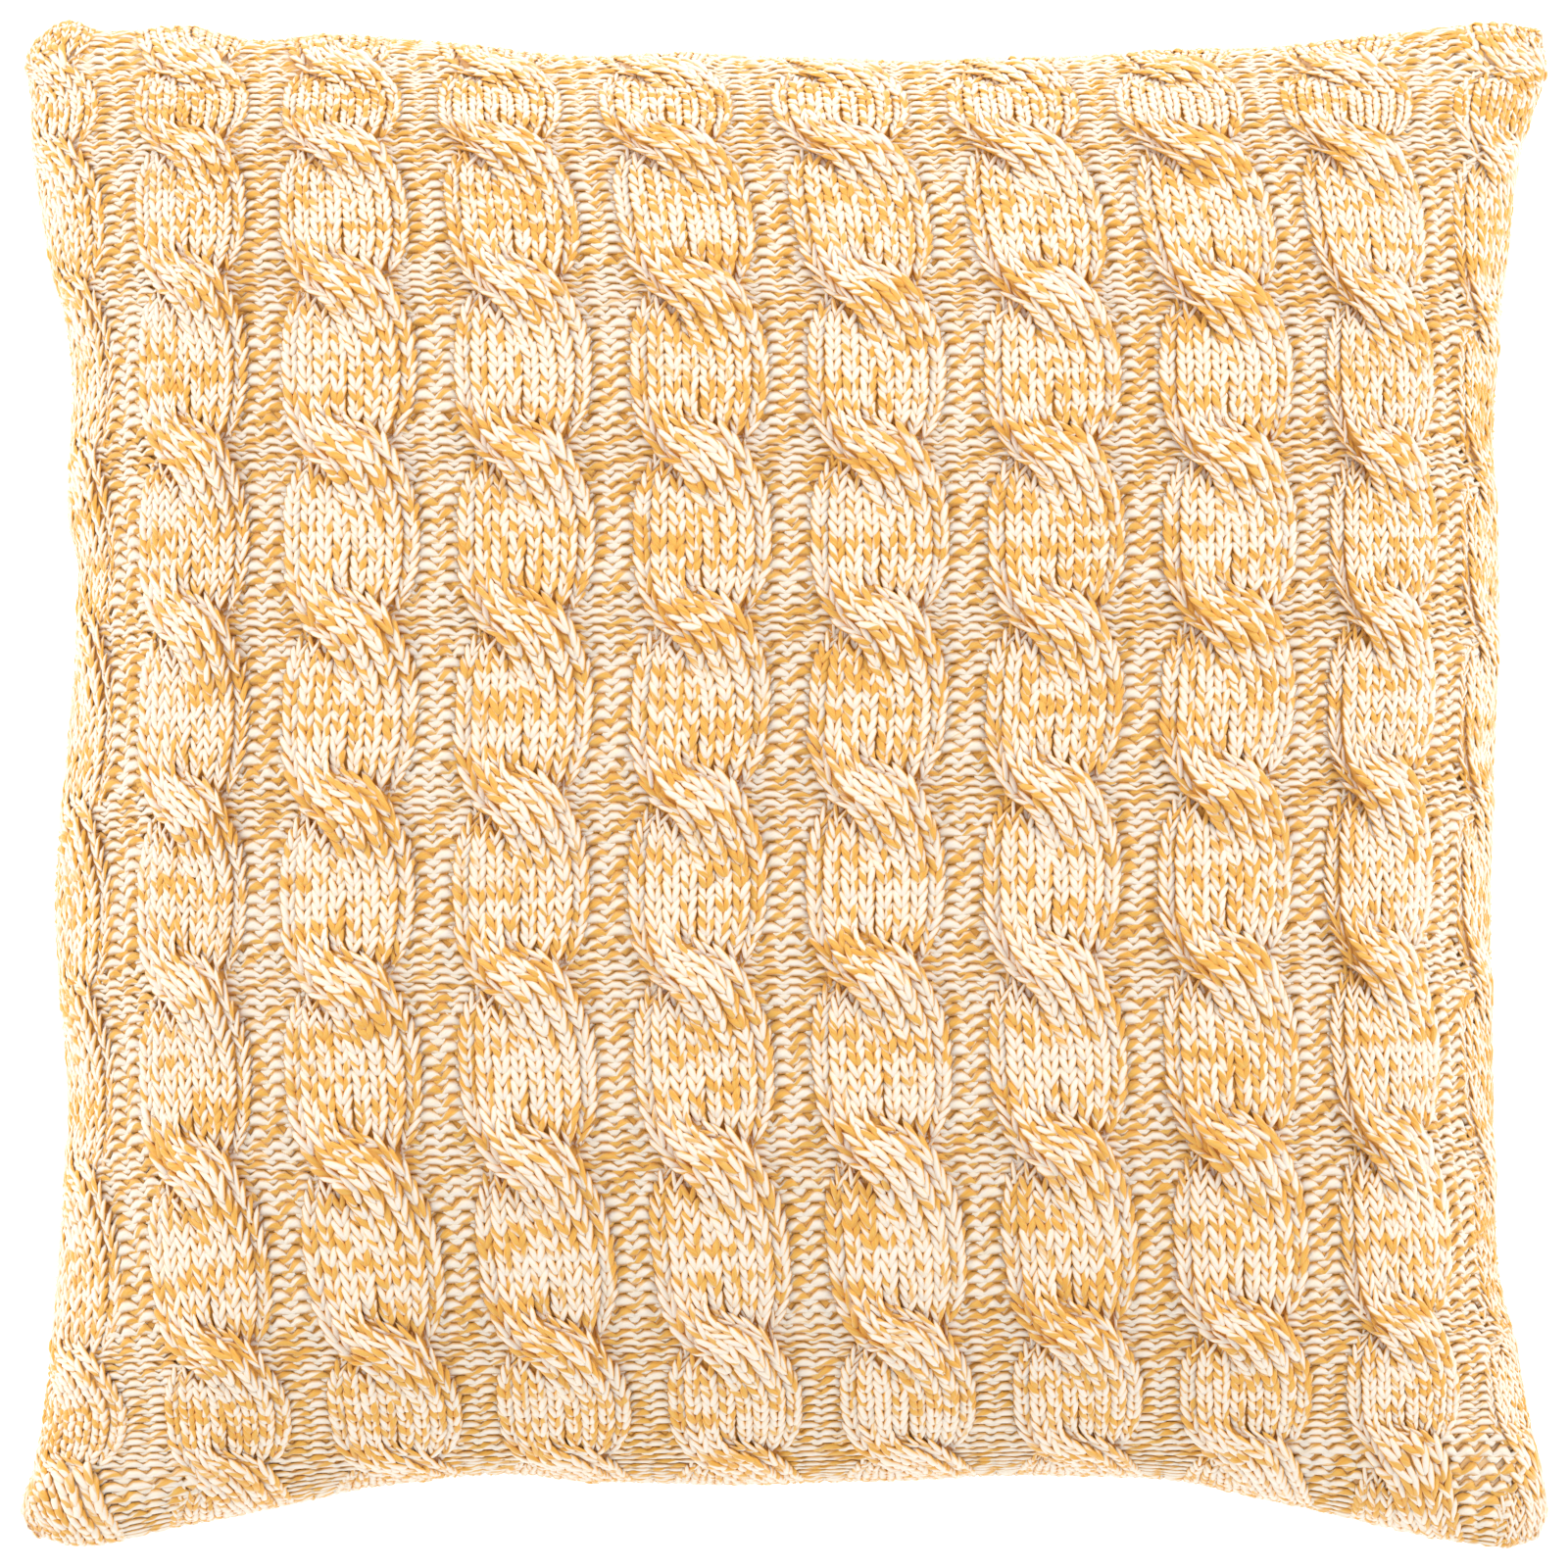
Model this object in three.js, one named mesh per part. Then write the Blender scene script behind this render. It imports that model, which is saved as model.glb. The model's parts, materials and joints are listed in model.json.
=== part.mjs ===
// A square cable-knitted floor cushion lying on its back. Millimetres, +Z up.
// Its face looks up, +X is its right side and +Y its top side as it is looked at.
// The origin is on the floor, under the middle of the cushion.
//
// The knit sets the coordinates of the face. "across" counts cable pitches from the middle gutter,
// so gutters lie at whole numbers and cables half way between them. "down" counts the crossings
// of the cables from the top side to the bottom side.

import * as THREE from "three";

// Driving dimensions
const SIDE = 600;
const HALF_SIDE = SIDE / 2;
const SEAM_HEIGHT = 72;
const CORNER_DROOP = 12;
const CROWN_RISE = 92;
const BACK_BULGE = 100;
const SIDE_ROUNDNESS = 2.6;
const FULLER_FOOT = 0.05;
const FLOOR_BLEND = 6;
const FILL_UNEVENNESS = 1.4;

// Knit
const OUTER_GUTTER = 4;
const SEAM_ACROSS = 4.8;
const FIRST_CROSSING = 0;
const LAST_CROSSING = 9;
const SEAM_DOWN_TOP = -0.35;
const SEAM_DOWN_BOTTOM = 9.5;
const GUTTER_DEPTH = 8;
const STRAND_RISE = 5;
const TUCK_DEPTH = 5;
const RELIEF_AT_SEAM = 0.35;
const CABLE_HALF_WIDTH = 0.385;
const PINCHED_HALF_WIDTH = 0.265;
const PINCH_LENGTH = 0.17;
const LEFT_PINCH_DELAY = 0.11;
const EDGE_COURSE_DROOP = 9;

// Where mesh lines run: over one cable in half widths, and over one crossing repeat
const CABLE_LINES = [-1, -0.7, -0.25, 0.25, 0.7, 1];
const COURSE_LINES = [-0.22, -0.06, 0.08, 0.22, 0.42, 0.6];
const BACK_RINGS = [0.985, 0.95, 0.89, 0.8, 0.7];

function table(columns, rows) {
  return rows.map((row) => Object.fromEntries(columns.map((name, i) => [name, row[i]])));
}

// Seen from above, each side lies this far inside the square. "along" runs rightwards or upwards.
const TOP_SIDE = table(["along", "inset"], [
  [-293, 8.4],
  [-281, 0.8],
  [-266, 4.4],
  [-233, 3.2],
  [-207, 8.4],
  [-179, 6.6],
  [-135, 9.4],
  [-84, 14.8],
  [-31, 14.0],
  [20, 16.6],
  [98, 15.6],
  [153, 12.6],
  [204, 10.2],
  [261, 2.8],
  [281, 1.9],
  [296, 5.0],
]);
const BOTTOM_SIDE = table(["along", "inset"], [
  [-294, 5.6],
  [-277, 1.6],
  [-263, 2.4],
  [-226, 11.0],
  [-189, 18.4],
  [-153, 26.0],
  [-102, 29.4],
  [-71, 26.6],
  [0, 26.0],
  [102, 29.2],
  [153, 26.8],
  [194, 18.4],
  [236, 8.4],
  [262, 2.8],
  [283, 0.5],
  [295, 4.4],
]);
const LEFT_SIDE = table(["along", "inset"], [
  [-294, 5.6],
  [-284, 0.6],
  [-264, 6.5],
  [-222, 12.3],
  [-173, 16.5],
  [-127, 19.4],
  [-88, 16.8],
  [-42, 14.6],
  [13, 19.2],
  [82, 23.6],
  [106, 19.2],
  [153, 21.2],
  [179, 18.6],
  [208, 11.2],
  [245, 5.4],
  [268, 4.4],
  [282, 2.2],
  [292, 7.0],
]);
const RIGHT_SIDE = table(["along", "inset"], [
  [-296, 4.8],
  [-284, 0.8],
  [-251, 6.9],
  [-215, 14.4],
  [-190, 20.2],
  [-137, 21.8],
  [-75, 23.0],
  [-31, 23.2],
  [23, 21.2],
  [92, 19.9],
  [132, 22.2],
  [179, 19.6],
  [210, 15.8],
  [238, 13.0],
  [258, 7.4],
  [280, 0.9],
  [295, 3.7],
]);

// Distance of each gutter from the middle one
const GUTTERS = table(["number", "distance"], [
  [0, 0],
  [1, 69],
  [2, 137],
  [3, 203],
  [4, 257],
]);

// Each row of crossings: its height in the middle, how much lower it lies at the right side than
// in the middle, and how far the gutters have drifted to the right there
const CROSSINGS = table(["number", "height", "rightDrop", "drift"], [
  [0, 281, 0, -9.5],
  [1, 251, 0, -7],
  [2, 195, 4, 0],
  [3, 132, 1, 2.3],
  [4, 66, -2, 3],
  [5, -2, -6, 1.2],
  [6, -71, -6.5, 1.5],
  [7, -142, -7, 6],
  [8, -215, -8, 12.5],
  [9, -263, -6, 16],
]);

function clamp(value, low, high) {
  return Math.min(Math.max(value, low), high);
}

function smoothStep(from, to, value) {
  const t = clamp((value - from) / (to - from), 0, 1);
  return t * t * (3 - 2 * t);
}

// One column of a table, read between its rows on a smooth curve
function readTable(rows, key, column, at) {
  const last = rows.length - 1;
  const place = clamp(at, rows[0][key], rows[last][key]);
  let i = 0;
  while (i < last - 1 && place > rows[i + 1][key]) {
    i += 1;
  }
  const slope = (row) => {
    const before = rows[Math.max(row - 1, 0)];
    const after = rows[Math.min(row + 1, last)];
    return (after[column] - before[column]) / (after[key] - before[key]);
  };
  const span = rows[i + 1][key] - rows[i][key];
  const t = (place - rows[i][key]) / span;
  const eased = t * t * (3 - 2 * t);
  const leaving = slope(i) * span * t * (1 - t) * (1 - t);
  const arriving = slope(i + 1) * span * t * t * (t - 1);
  return rows[i][column] * (1 - eased) + rows[i + 1][column] * eased + leaving + arriving;
}

// The four sides of the outline, by the place along them
const outline = {
  top: (x) => HALF_SIDE - readTable(TOP_SIDE, "along", "inset", x),
  bottom: (x) => readTable(BOTTOM_SIDE, "along", "inset", x) - HALF_SIDE,
  left: (y) => readTable(LEFT_SIDE, "along", "inset", y) - HALF_SIDE,
  right: (y) => HALF_SIDE - readTable(RIGHT_SIDE, "along", "inset", y),
};

// From the last line of the face's own grid, the surface rolls over to the seam
function rollToSeam(from, seam, past, length) {
  return from + (seam - from) * Math.sin((Math.PI / 2) * clamp(past / length, 0, 1));
}

function columnX(across, down, y) {
  const inner = clamp(across, -OUTER_GUTTER, OUTER_GUTTER);
  const distance = readTable(GUTTERS, "number", "distance", Math.abs(inner));
  const loose = 0.25 + 0.75 * smoothStep(-OUTER_GUTTER, -OUTER_GUTTER / 2, inner);
  const x = Math.sign(inner) * distance + loose * readTable(CROSSINGS, "number", "drift", down);
  const past = Math.abs(across) - OUTER_GUTTER;
  if (past <= 0) {
    return x;
  }
  const seam = across < 0 ? outline.left(y) : outline.right(y);
  return rollToSeam(x, seam, past, SEAM_ACROSS - OUTER_GUTTER);
}

function courseY(across, down, x) {
  const inner = clamp(down, FIRST_CROSSING, LAST_CROSSING);
  const drop = readTable(CROSSINGS, "number", "rightDrop", inner) * (x / HALF_SIDE);
  const middle = readTable(CROSSINGS, "number", "height", inner);
  const atSide = smoothStep(OUTER_GUTTER - 0.4, SEAM_ACROSS, Math.abs(across));
  const open = smoothStep(0, 2, inner) * smoothStep(LAST_CROSSING, LAST_CROSSING - 2, inner);
  const y = middle - drop - EDGE_COURSE_DROOP * atSide * open;
  if (down < FIRST_CROSSING) {
    return rollToSeam(y, outline.top(x), FIRST_CROSSING - down, FIRST_CROSSING - SEAM_DOWN_TOP);
  }
  if (down > LAST_CROSSING) {
    return rollToSeam(y, outline.bottom(x), down - LAST_CROSSING, SEAM_DOWN_BOTTOM - LAST_CROSSING);
  }
  return y;
}

// Place of a stitch seen from above. Columns bend with the sides and courses with the columns.
function planPoint(across, down) {
  let x = columnX(across, down, 0);
  let y = courseY(across, down, x);
  for (let pass = 0; pass < 6; pass += 1) {
    x = columnX(across, down, y);
    y = courseY(across, down, x);
  }
  return new THREE.Vector2(x, y);
}

// A place in the outline as shares of the way from the middle to the sides, -1 to 1 each way
function shares(plan) {
  const left = outline.left(plan.y);
  const right = outline.right(plan.y);
  const bottom = outline.bottom(plan.x);
  const top = outline.top(plan.x);
  return new THREE.Vector2(
    clamp((2 * plan.x - left - right) / (right - left), -1, 1),
    clamp((2 * plan.y - bottom - top) / (top - bottom), -1, 1),
  );
}

// Share of the full thickness: 1 in the middle, 0 at the seam
function fullness(share) {
  const arch = (s) => (1 - Math.abs(s) ** SIDE_ROUNDNESS) ** (1 / SIDE_ROUNDNESS);
  return arch(share.x) * arch(share.y);
}

function seamHeight(share) {
  return SEAM_HEIGHT - CORNER_DROOP * (share.x * share.y) ** 2;
}

// The face without its knit: the crown of the filled cushion, over the crests of the cables
function crownPoint(across, down) {
  const plan = planPoint(across, down);
  const share = shares(plan);
  const full = fullness(share);
  const sagged = new THREE.Vector2(share.x, share.y + FULLER_FOOT * (1 - share.y ** 2));
  const lumps = Math.sin(plan.x / 47 + 0.6) * Math.sin(plan.y / 61 - 0.9) * FILL_UNEVENNESS * full;
  return new THREE.Vector3(
    plan.x,
    plan.y,
    seamHeight(share) + CROWN_RISE * fullness(sagged) * smoothStep(-0.2, 0.04, full) + lumps,
  );
}

function crownNormal(across, down) {
  const step = 0.01;
  const a0 = crownPoint(clamp(across - step, -SEAM_ACROSS, SEAM_ACROSS), down);
  const a1 = crownPoint(clamp(across + step, -SEAM_ACROSS, SEAM_ACROSS), down);
  const d0 = crownPoint(across, clamp(down - step, SEAM_DOWN_TOP, SEAM_DOWN_BOTTOM));
  const d1 = crownPoint(across, clamp(down + step, SEAM_DOWN_TOP, SEAM_DOWN_BOTTOM));
  return d1.sub(d0).cross(a1.sub(a0)).normalize();
}

// Half the width of a cable: it is drawn in at each crossing, on the left a little later
function cableHalfWidth(down, side) {
  const fromCrossing = down - Math.round(down) - (side < 0 ? LEFT_PINCH_DELAY : 0);
  const pinch = Math.exp(-((fromCrossing / PINCH_LENGTH) ** 2));
  return CABLE_HALF_WIDTH - (CABLE_HALF_WIDTH - PINCHED_HALF_WIDTH) * pinch;
}

// Height of the knit over the crests: gutters sink, and at a crossing the front strand rises from
// the upper left over the back strand, which tucks under at the upper right and the lower left
function knitRelief(across, down) {
  const offset = across - (Math.floor(across) + 0.5);
  const t = down - Math.round(down);
  const share = clamp(offset / cableHalfWidth(down, offset), -1, 1);
  const sink = GUTTER_DEPTH * (1 - (1 - Math.abs(share) ** 3) ** 0.7);
  const strandMiddle = 0.19 * (2 * smoothStep(-0.3, 0.36, t) - 1);
  const near = Math.exp(-(((t - 0.04) / 0.2) ** 2));
  const onStrand = Math.exp(-(((offset - strandMiddle) / 0.13) ** 2));
  const tuckUpper = Math.exp(-(((offset - 0.2) / 0.1) ** 2) - ((t + 0.07) / 0.07) ** 2);
  const tuckLower = Math.exp(-(((offset + 0.2) / 0.1) ** 2) - ((t - 0.17) / 0.07) ** 2);
  return STRAND_RISE * near * onStrand - TUCK_DEPTH * (tuckUpper + tuckLower) - sink;
}

function facePoint(across, down) {
  const crown = crownPoint(across, down);
  const full = fullness(shares(new THREE.Vector2(crown.x, crown.y)));
  const fade = RELIEF_AT_SEAM + (1 - RELIEF_AT_SEAM) * smoothStep(0, 0.45, full);
  return crown.add(crownNormal(across, down).multiplyScalar(knitRelief(across, down) * fade));
}

// Exactly zero where the cushion would sink into the floor, with a soft start
function restOnFloor(height) {
  if (height >= FLOOR_BLEND) {
    return height;
  }
  return Math.max(height + FLOOR_BLEND, 0) ** 2 / (4 * FLOOR_BLEND);
}

function backPoint(across, down, scale) {
  const edge = planPoint(across, down);
  const share = shares(edge);
  const deep = BACK_BULGE * fullness(share.clone().multiplyScalar(scale));
  return new THREE.Vector3(edge.x * scale, edge.y * scale, restOnFloor(seamHeight(share) - deep));
}

// Mesh lines across the face: both seams, every gutter, and each cable's own lines
function linesAcross(down) {
  const lines = [];
  for (let gutter = -OUTER_GUTTER - 1; gutter <= OUTER_GUTTER; gutter += 1) {
    lines.push(gutter);
    for (const line of CABLE_LINES) {
      lines.push(gutter + 0.5 + line * cableHalfWidth(down, line));
    }
  }
  const room = 0.02;
  const inside = lines.slice(2, -1).filter((line) => Math.abs(line) < SEAM_ACROSS - room);
  return [-SEAM_ACROSS, ...inside, SEAM_ACROSS];
}

function linesDown() {
  const lines = [];
  for (let crossing = FIRST_CROSSING; crossing <= LAST_CROSSING; crossing += 1) {
    for (const line of COURSE_LINES) {
      lines.push(crossing + line);
    }
  }
  const room = 0.05;
  const inside = lines.filter((line) => line > SEAM_DOWN_TOP + room && line < SEAM_DOWN_BOTTOM - room);
  return [SEAM_DOWN_TOP, ...inside, SEAM_DOWN_BOTTOM];
}

function cushionGeometry() {
  const positions = [];
  const triangles = [];
  const add = (point) => positions.push(point.x, point.y, point.z) / 3 - 1;

  const downs = linesDown();
  const grid = downs.map((down) => linesAcross(down).map((across) => [across, down]));
  const face = grid.map((row) => row.map(([across, down]) => add(facePoint(across, down))));
  const rows = face.length - 1;
  const columns = face[0].length - 1;
  for (let j = 0; j < rows; j += 1) {
    for (let i = 0; i < columns; i += 1) {
      const lowerRight = face[j + 1][i + 1];
      triangles.push(face[j][i], face[j + 1][i], lowerRight);
      triangles.push(face[j][i], lowerRight, face[j][i + 1]);
    }
  }

  // The seam, clockwise from the upper left corner
  const seam = [];
  for (let i = 0; i < columns; i += 1) {
    seam.push([0, i]);
  }
  for (let j = 0; j < rows; j += 1) {
    seam.push([j, columns]);
  }
  for (let i = columns; i > 0; i -= 1) {
    seam.push([rows, i]);
  }
  for (let j = rows; j > 0; j -= 1) {
    seam.push([j, 0]);
  }

  // The back closes from the seam in rings with half as many points, down to the flat rest
  const halved = seam.filter((_, i) => i % 2 === 0);
  const rings = BACK_RINGS.map((scale) => halved.map(([j, i]) => add(backPoint(...grid[j][i], scale))));
  const outer = seam.map(([j, i]) => face[j][i]);
  rings[0].forEach((inner, i) => {
    const start = 2 * i;
    const next = rings[0][(i + 1) % halved.length];
    triangles.push(outer[start], outer[start + 1], inner);
    triangles.push(outer[start + 1], next, inner);
    triangles.push(outer[start + 1], outer[(start + 2) % outer.length], next);
  });
  rings.slice(1).forEach((ring, r) => {
    ring.forEach((inner, i) => {
      const beside = (i + 1) % ring.length;
      triangles.push(rings[r][i], rings[r][beside], inner);
      triangles.push(rings[r][beside], ring[beside], inner);
    });
  });
  const middle = add(new THREE.Vector3(0, 0, 0));
  const last = rings[rings.length - 1];
  last.forEach((point, i) => {
    triangles.push(point, last[(i + 1) % last.length], middle);
  });

  const geometry = new THREE.BufferGeometry();
  geometry.setAttribute("position", new THREE.Float32BufferAttribute(positions, 3));
  geometry.setIndex(triangles);
  geometry.computeVertexNormals();
  geometry.computeBoundingBox();
  const centre = geometry.boundingBox.getCenter(new THREE.Vector3());
  return geometry.translate(-centre.x, -centre.y, 0);
}

const marledCotton = new THREE.MeshStandardMaterial({
  color: 0xf3d9a4,
  roughness: 0.92,
  metalness: 0,
});

const cushion = new THREE.Mesh(cushionGeometry(), marledCotton);
cushion.name = "knitted_cushion";

const group = new THREE.Group();
group.add(cushion);

export default group;
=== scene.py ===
"""Looks of a square cable-knitted floor cushion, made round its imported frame.

The cushion lies on its back: +X is its right side, +Y its top side and +Z looks out of its face.
Knit sizes are in millimetres, and MM turns them into Blender's metres where a mesh is written.
"across" counts cable pitches from the middle gutter, so gutters lie at whole numbers and cables
half way between them. "down" counts the crossings of the cables from the top side down.
"""

import json
import logging
import math
from dataclasses import dataclass, field
from enum import Enum

import bpy
import numpy as np
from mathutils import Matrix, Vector

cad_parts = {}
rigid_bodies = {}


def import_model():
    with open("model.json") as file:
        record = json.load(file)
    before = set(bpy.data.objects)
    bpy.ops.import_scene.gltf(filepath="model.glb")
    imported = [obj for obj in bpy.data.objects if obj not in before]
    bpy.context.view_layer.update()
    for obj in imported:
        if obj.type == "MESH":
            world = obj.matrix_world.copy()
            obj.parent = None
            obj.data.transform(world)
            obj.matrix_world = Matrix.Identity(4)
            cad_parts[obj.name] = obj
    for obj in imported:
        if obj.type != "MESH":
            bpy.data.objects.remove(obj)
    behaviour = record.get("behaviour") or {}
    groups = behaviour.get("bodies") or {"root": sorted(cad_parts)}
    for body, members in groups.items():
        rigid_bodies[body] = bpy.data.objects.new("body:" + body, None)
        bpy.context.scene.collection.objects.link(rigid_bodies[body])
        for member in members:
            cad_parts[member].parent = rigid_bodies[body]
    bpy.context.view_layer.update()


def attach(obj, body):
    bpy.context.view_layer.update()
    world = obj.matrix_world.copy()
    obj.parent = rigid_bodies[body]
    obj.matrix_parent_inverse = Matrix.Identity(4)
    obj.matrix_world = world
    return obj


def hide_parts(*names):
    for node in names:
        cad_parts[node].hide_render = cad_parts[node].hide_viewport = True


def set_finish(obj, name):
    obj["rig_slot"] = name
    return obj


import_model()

MM = 0.001
NODE = "knitted_cushion"
BODY = "root"
SLOT = "marled_knit"

# Wales of one strand of a cable, and wales from one gutter to the next
STRAND_WALES = 4
PITCH_WALES = 10

# Keeps the numbers that seed the random draws above zero
SEED_SHIFT = 10

# What every seat of a stitch carries: two directions, and the size of the yarn on it
SEAT_VECTORS = ("seat_normal", "seat_run", "seat_scale")

log = logging.getLogger("cushion")
Array = np.ndarray
Colour = tuple[float, float, float, float]


class Side(Enum):
    """The side of a stitch or of the outline."""

    LEFT = -1
    RIGHT = 1


class Bow(Enum):
    """How a purl strand swings: in round arches, or sagging between points."""

    ARCH = 1
    SAG = -1


@dataclass(frozen=True)
class Table:
    """A short table with named columns, keyed by the first one."""

    columns: tuple[str, ...]
    rows: tuple[tuple[float, ...], ...]

    def read(self, column: str, at: Array) -> Array:
        """Reads a column between its rows on a smooth curve.

        Args:
            column: Name of the column.
            at: Places in the key column, held inside the table's ends.

        Returns:
            The column's value at each place.
        """
        key = np.array([row[0] for row in self.rows], float)
        value = np.array([row[self.columns.index(column)] for row in self.rows], float)
        slope = np.empty_like(value)
        slope[1:-1] = (value[2:] - value[:-2]) / (key[2:] - key[:-2])
        slope[0] = (value[1] - value[0]) / (key[1] - key[0])
        slope[-1] = (value[-1] - value[-2]) / (key[-1] - key[-2])
        place = np.clip(at, key[0], key[-1])
        i = np.clip(np.searchsorted(key, place) - 1, 0, len(key) - 2)
        span = key[i + 1] - key[i]
        t = (place - key[i]) / span
        eased = t * t * (3 - 2 * t)
        leaving = slope[i] * span * t * (1 - t) ** 2
        arriving = slope[i + 1] * span * t * t * (t - 1)
        return value[i] * (1 - eased) + value[i + 1] * eased + leaving + arriving


def smooth_step(start: float, end: float, value: Array) -> Array:
    """Rises smoothly from 0 at start to 1 at end."""
    t = np.clip((value - start) / (end - start), 0, 1)
    return t * t * (3 - 2 * t)


def unit(vectors: Array) -> Array:
    """The vectors at length one."""
    return vectors / np.maximum(np.linalg.norm(vectors, axis=-1, keepdims=True), 1e-9)


# Seen from above, each side lies this far inside the square, in millimetres. "along" runs
# rightwards or upwards.
TOP_SIDE = Table(("along", "inset"), (
    (-293, 8.4), (-281, 0.8), (-266, 4.4), (-233, 3.2), (-207, 8.4), (-179, 6.6), (-135, 9.4),
    (-84, 14.8), (-31, 14.0), (20, 16.6), (98, 15.6), (153, 12.6), (204, 10.2), (261, 2.8),
    (281, 1.9), (296, 5.0),
))
BOTTOM_SIDE = Table(("along", "inset"), (
    (-294, 5.6), (-277, 1.6), (-263, 2.4), (-226, 11.0), (-189, 18.4), (-153, 26.0),
    (-102, 29.4), (-71, 26.6), (0, 26.0), (102, 29.2), (153, 26.8), (194, 18.4), (236, 8.4),
    (262, 2.8), (283, 0.5), (295, 4.4),
))
LEFT_SIDE = Table(("along", "inset"), (
    (-294, 5.6), (-284, 0.6), (-264, 6.5), (-222, 12.3), (-173, 16.5), (-127, 19.4),
    (-88, 16.8), (-42, 14.6), (13, 19.2), (82, 23.6), (106, 19.2), (153, 21.2), (179, 18.6),
    (208, 11.2), (245, 5.4), (268, 4.4), (282, 2.2), (292, 7.0),
))
RIGHT_SIDE = Table(("along", "inset"), (
    (-296, 4.8), (-284, 0.8), (-251, 6.9), (-215, 14.4), (-190, 20.2), (-137, 21.8),
    (-75, 23.0), (-31, 23.2), (23, 21.2), (92, 19.9), (132, 22.2), (179, 19.6), (210, 15.8),
    (238, 13.0), (258, 7.4), (280, 0.9), (295, 3.7),
))

# Distance of each gutter from the middle one, in millimetres
GUTTERS = Table(("number", "distance"), ((0, 0), (1, 69), (2, 137.3), (3, 203.9), (4, 259)))

# Each row of crossings, in millimetres: its height in the middle, how much lower it lies at the
# right side than in the middle, and how far the gutters have drifted to the right there
CROSSINGS = Table(("number", "height", "right_drop", "drift"), (
    (0, 281, 0, -9.5),
    (1, 251, 0, -7),
    (2, 195, 4, 0),
    (3, 132, 1, 2.3),
    (4, 66, -2, 3),
    (5, -2, -6, 1.2),
    (6, -71, -6.5, 1.5),
    (7, -142, -7, 6),
    (8, -215, -8, 12.5),
    (9, -263, -6, 16),
))

# How many millimetres further right than that each gutter lies at the top and at the bottom side
SIDEWAYS = Table(("number", "top", "bottom"), (
    (-4, 0, 8), (-3, 7.7, 11), (-2, 4.2, 4.6), (-1, -2.3, 2.3), (0, -4.6, 0), (1, -5, -1.5),
    (2, -7.7, -5.4), (3, -10, -6.1), (4, 3, -3),
))

# Where the rows of stitches lie: they crowd together, seen from above, on the steep sides
STITCH_ROWS = Table(("row", "down"), (
    (0, -0.35), (8, 0), (20, 1), (35, 2), (50, 3), (65, 4), (80, 5), (95, 6), (110, 7),
    (125, 8), (139, 9), (149, 9.5),
))

# Edges of the front strand of a crossing, in pitches from the cable's middle, by repeats past the
# crossing
STRAND_EDGES = Table(("past", "left", "right"), (
    (-0.45, -0.385, 0.0), (-0.30, -0.375, -0.03), (-0.20, -0.355, -0.10), (-0.10, -0.33, 0.05),
    (0.0, -0.27, 0.24), (0.09, -0.20, 0.285), (0.20, -0.10, 0.33), (0.30, -0.02, 0.36),
    (0.42, 0.0, 0.38), (0.55, 0.0, 0.385),
))

# The middle line of the front strand by its own courses: its place in pitches from the cable's
# middle and in repeats past the crossing, and half the strand's width in millimetres
FRONT_STRAND = Table(("course", "offset", "past", "half_width"), (
    (-0.55, -0.193, -0.55, 13.3), (-0.45, -0.193, -0.45, 13.3), (-0.32, -0.196, -0.303, 12.6),
    (-0.24, -0.190, -0.21, 12.1), (-0.16, -0.165, -0.12, 11.5), (-0.08, -0.113, -0.045, 11.3),
    (0.055, 0.010, 0.045, 12.5), (0.15, 0.080, 0.133, 13.2), (0.23, 0.118, 0.215, 13.5),
    (0.355, 0.167, 0.345, 13.5), (0.45, 0.190, 0.45, 13.4), (0.55, 0.193, 0.55, 13.3),
))

# The back strand as it goes under at the right, and as it comes out again at the left
SINKING_STRAND = Table(("past", "left", "right"), (
    (-0.45, 0.0, 0.385), (-0.30, 0.0, 0.375), (-0.20, 0.0, 0.35), (-0.10, 0.01, 0.31),
    (0.0, 0.06, 0.265), (0.05, 0.09, 0.255),
))
RISING_STRAND = Table(("past", "left", "right"), (
    (-0.06, -0.25, -0.03), (0.05, -0.265, -0.03), (0.10, -0.285, -0.03), (0.20, -0.335, -0.03),
    (0.30, -0.37, -0.01), (0.42, -0.385, 0.0), (0.55, -0.385, 0.0),
))


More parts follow.
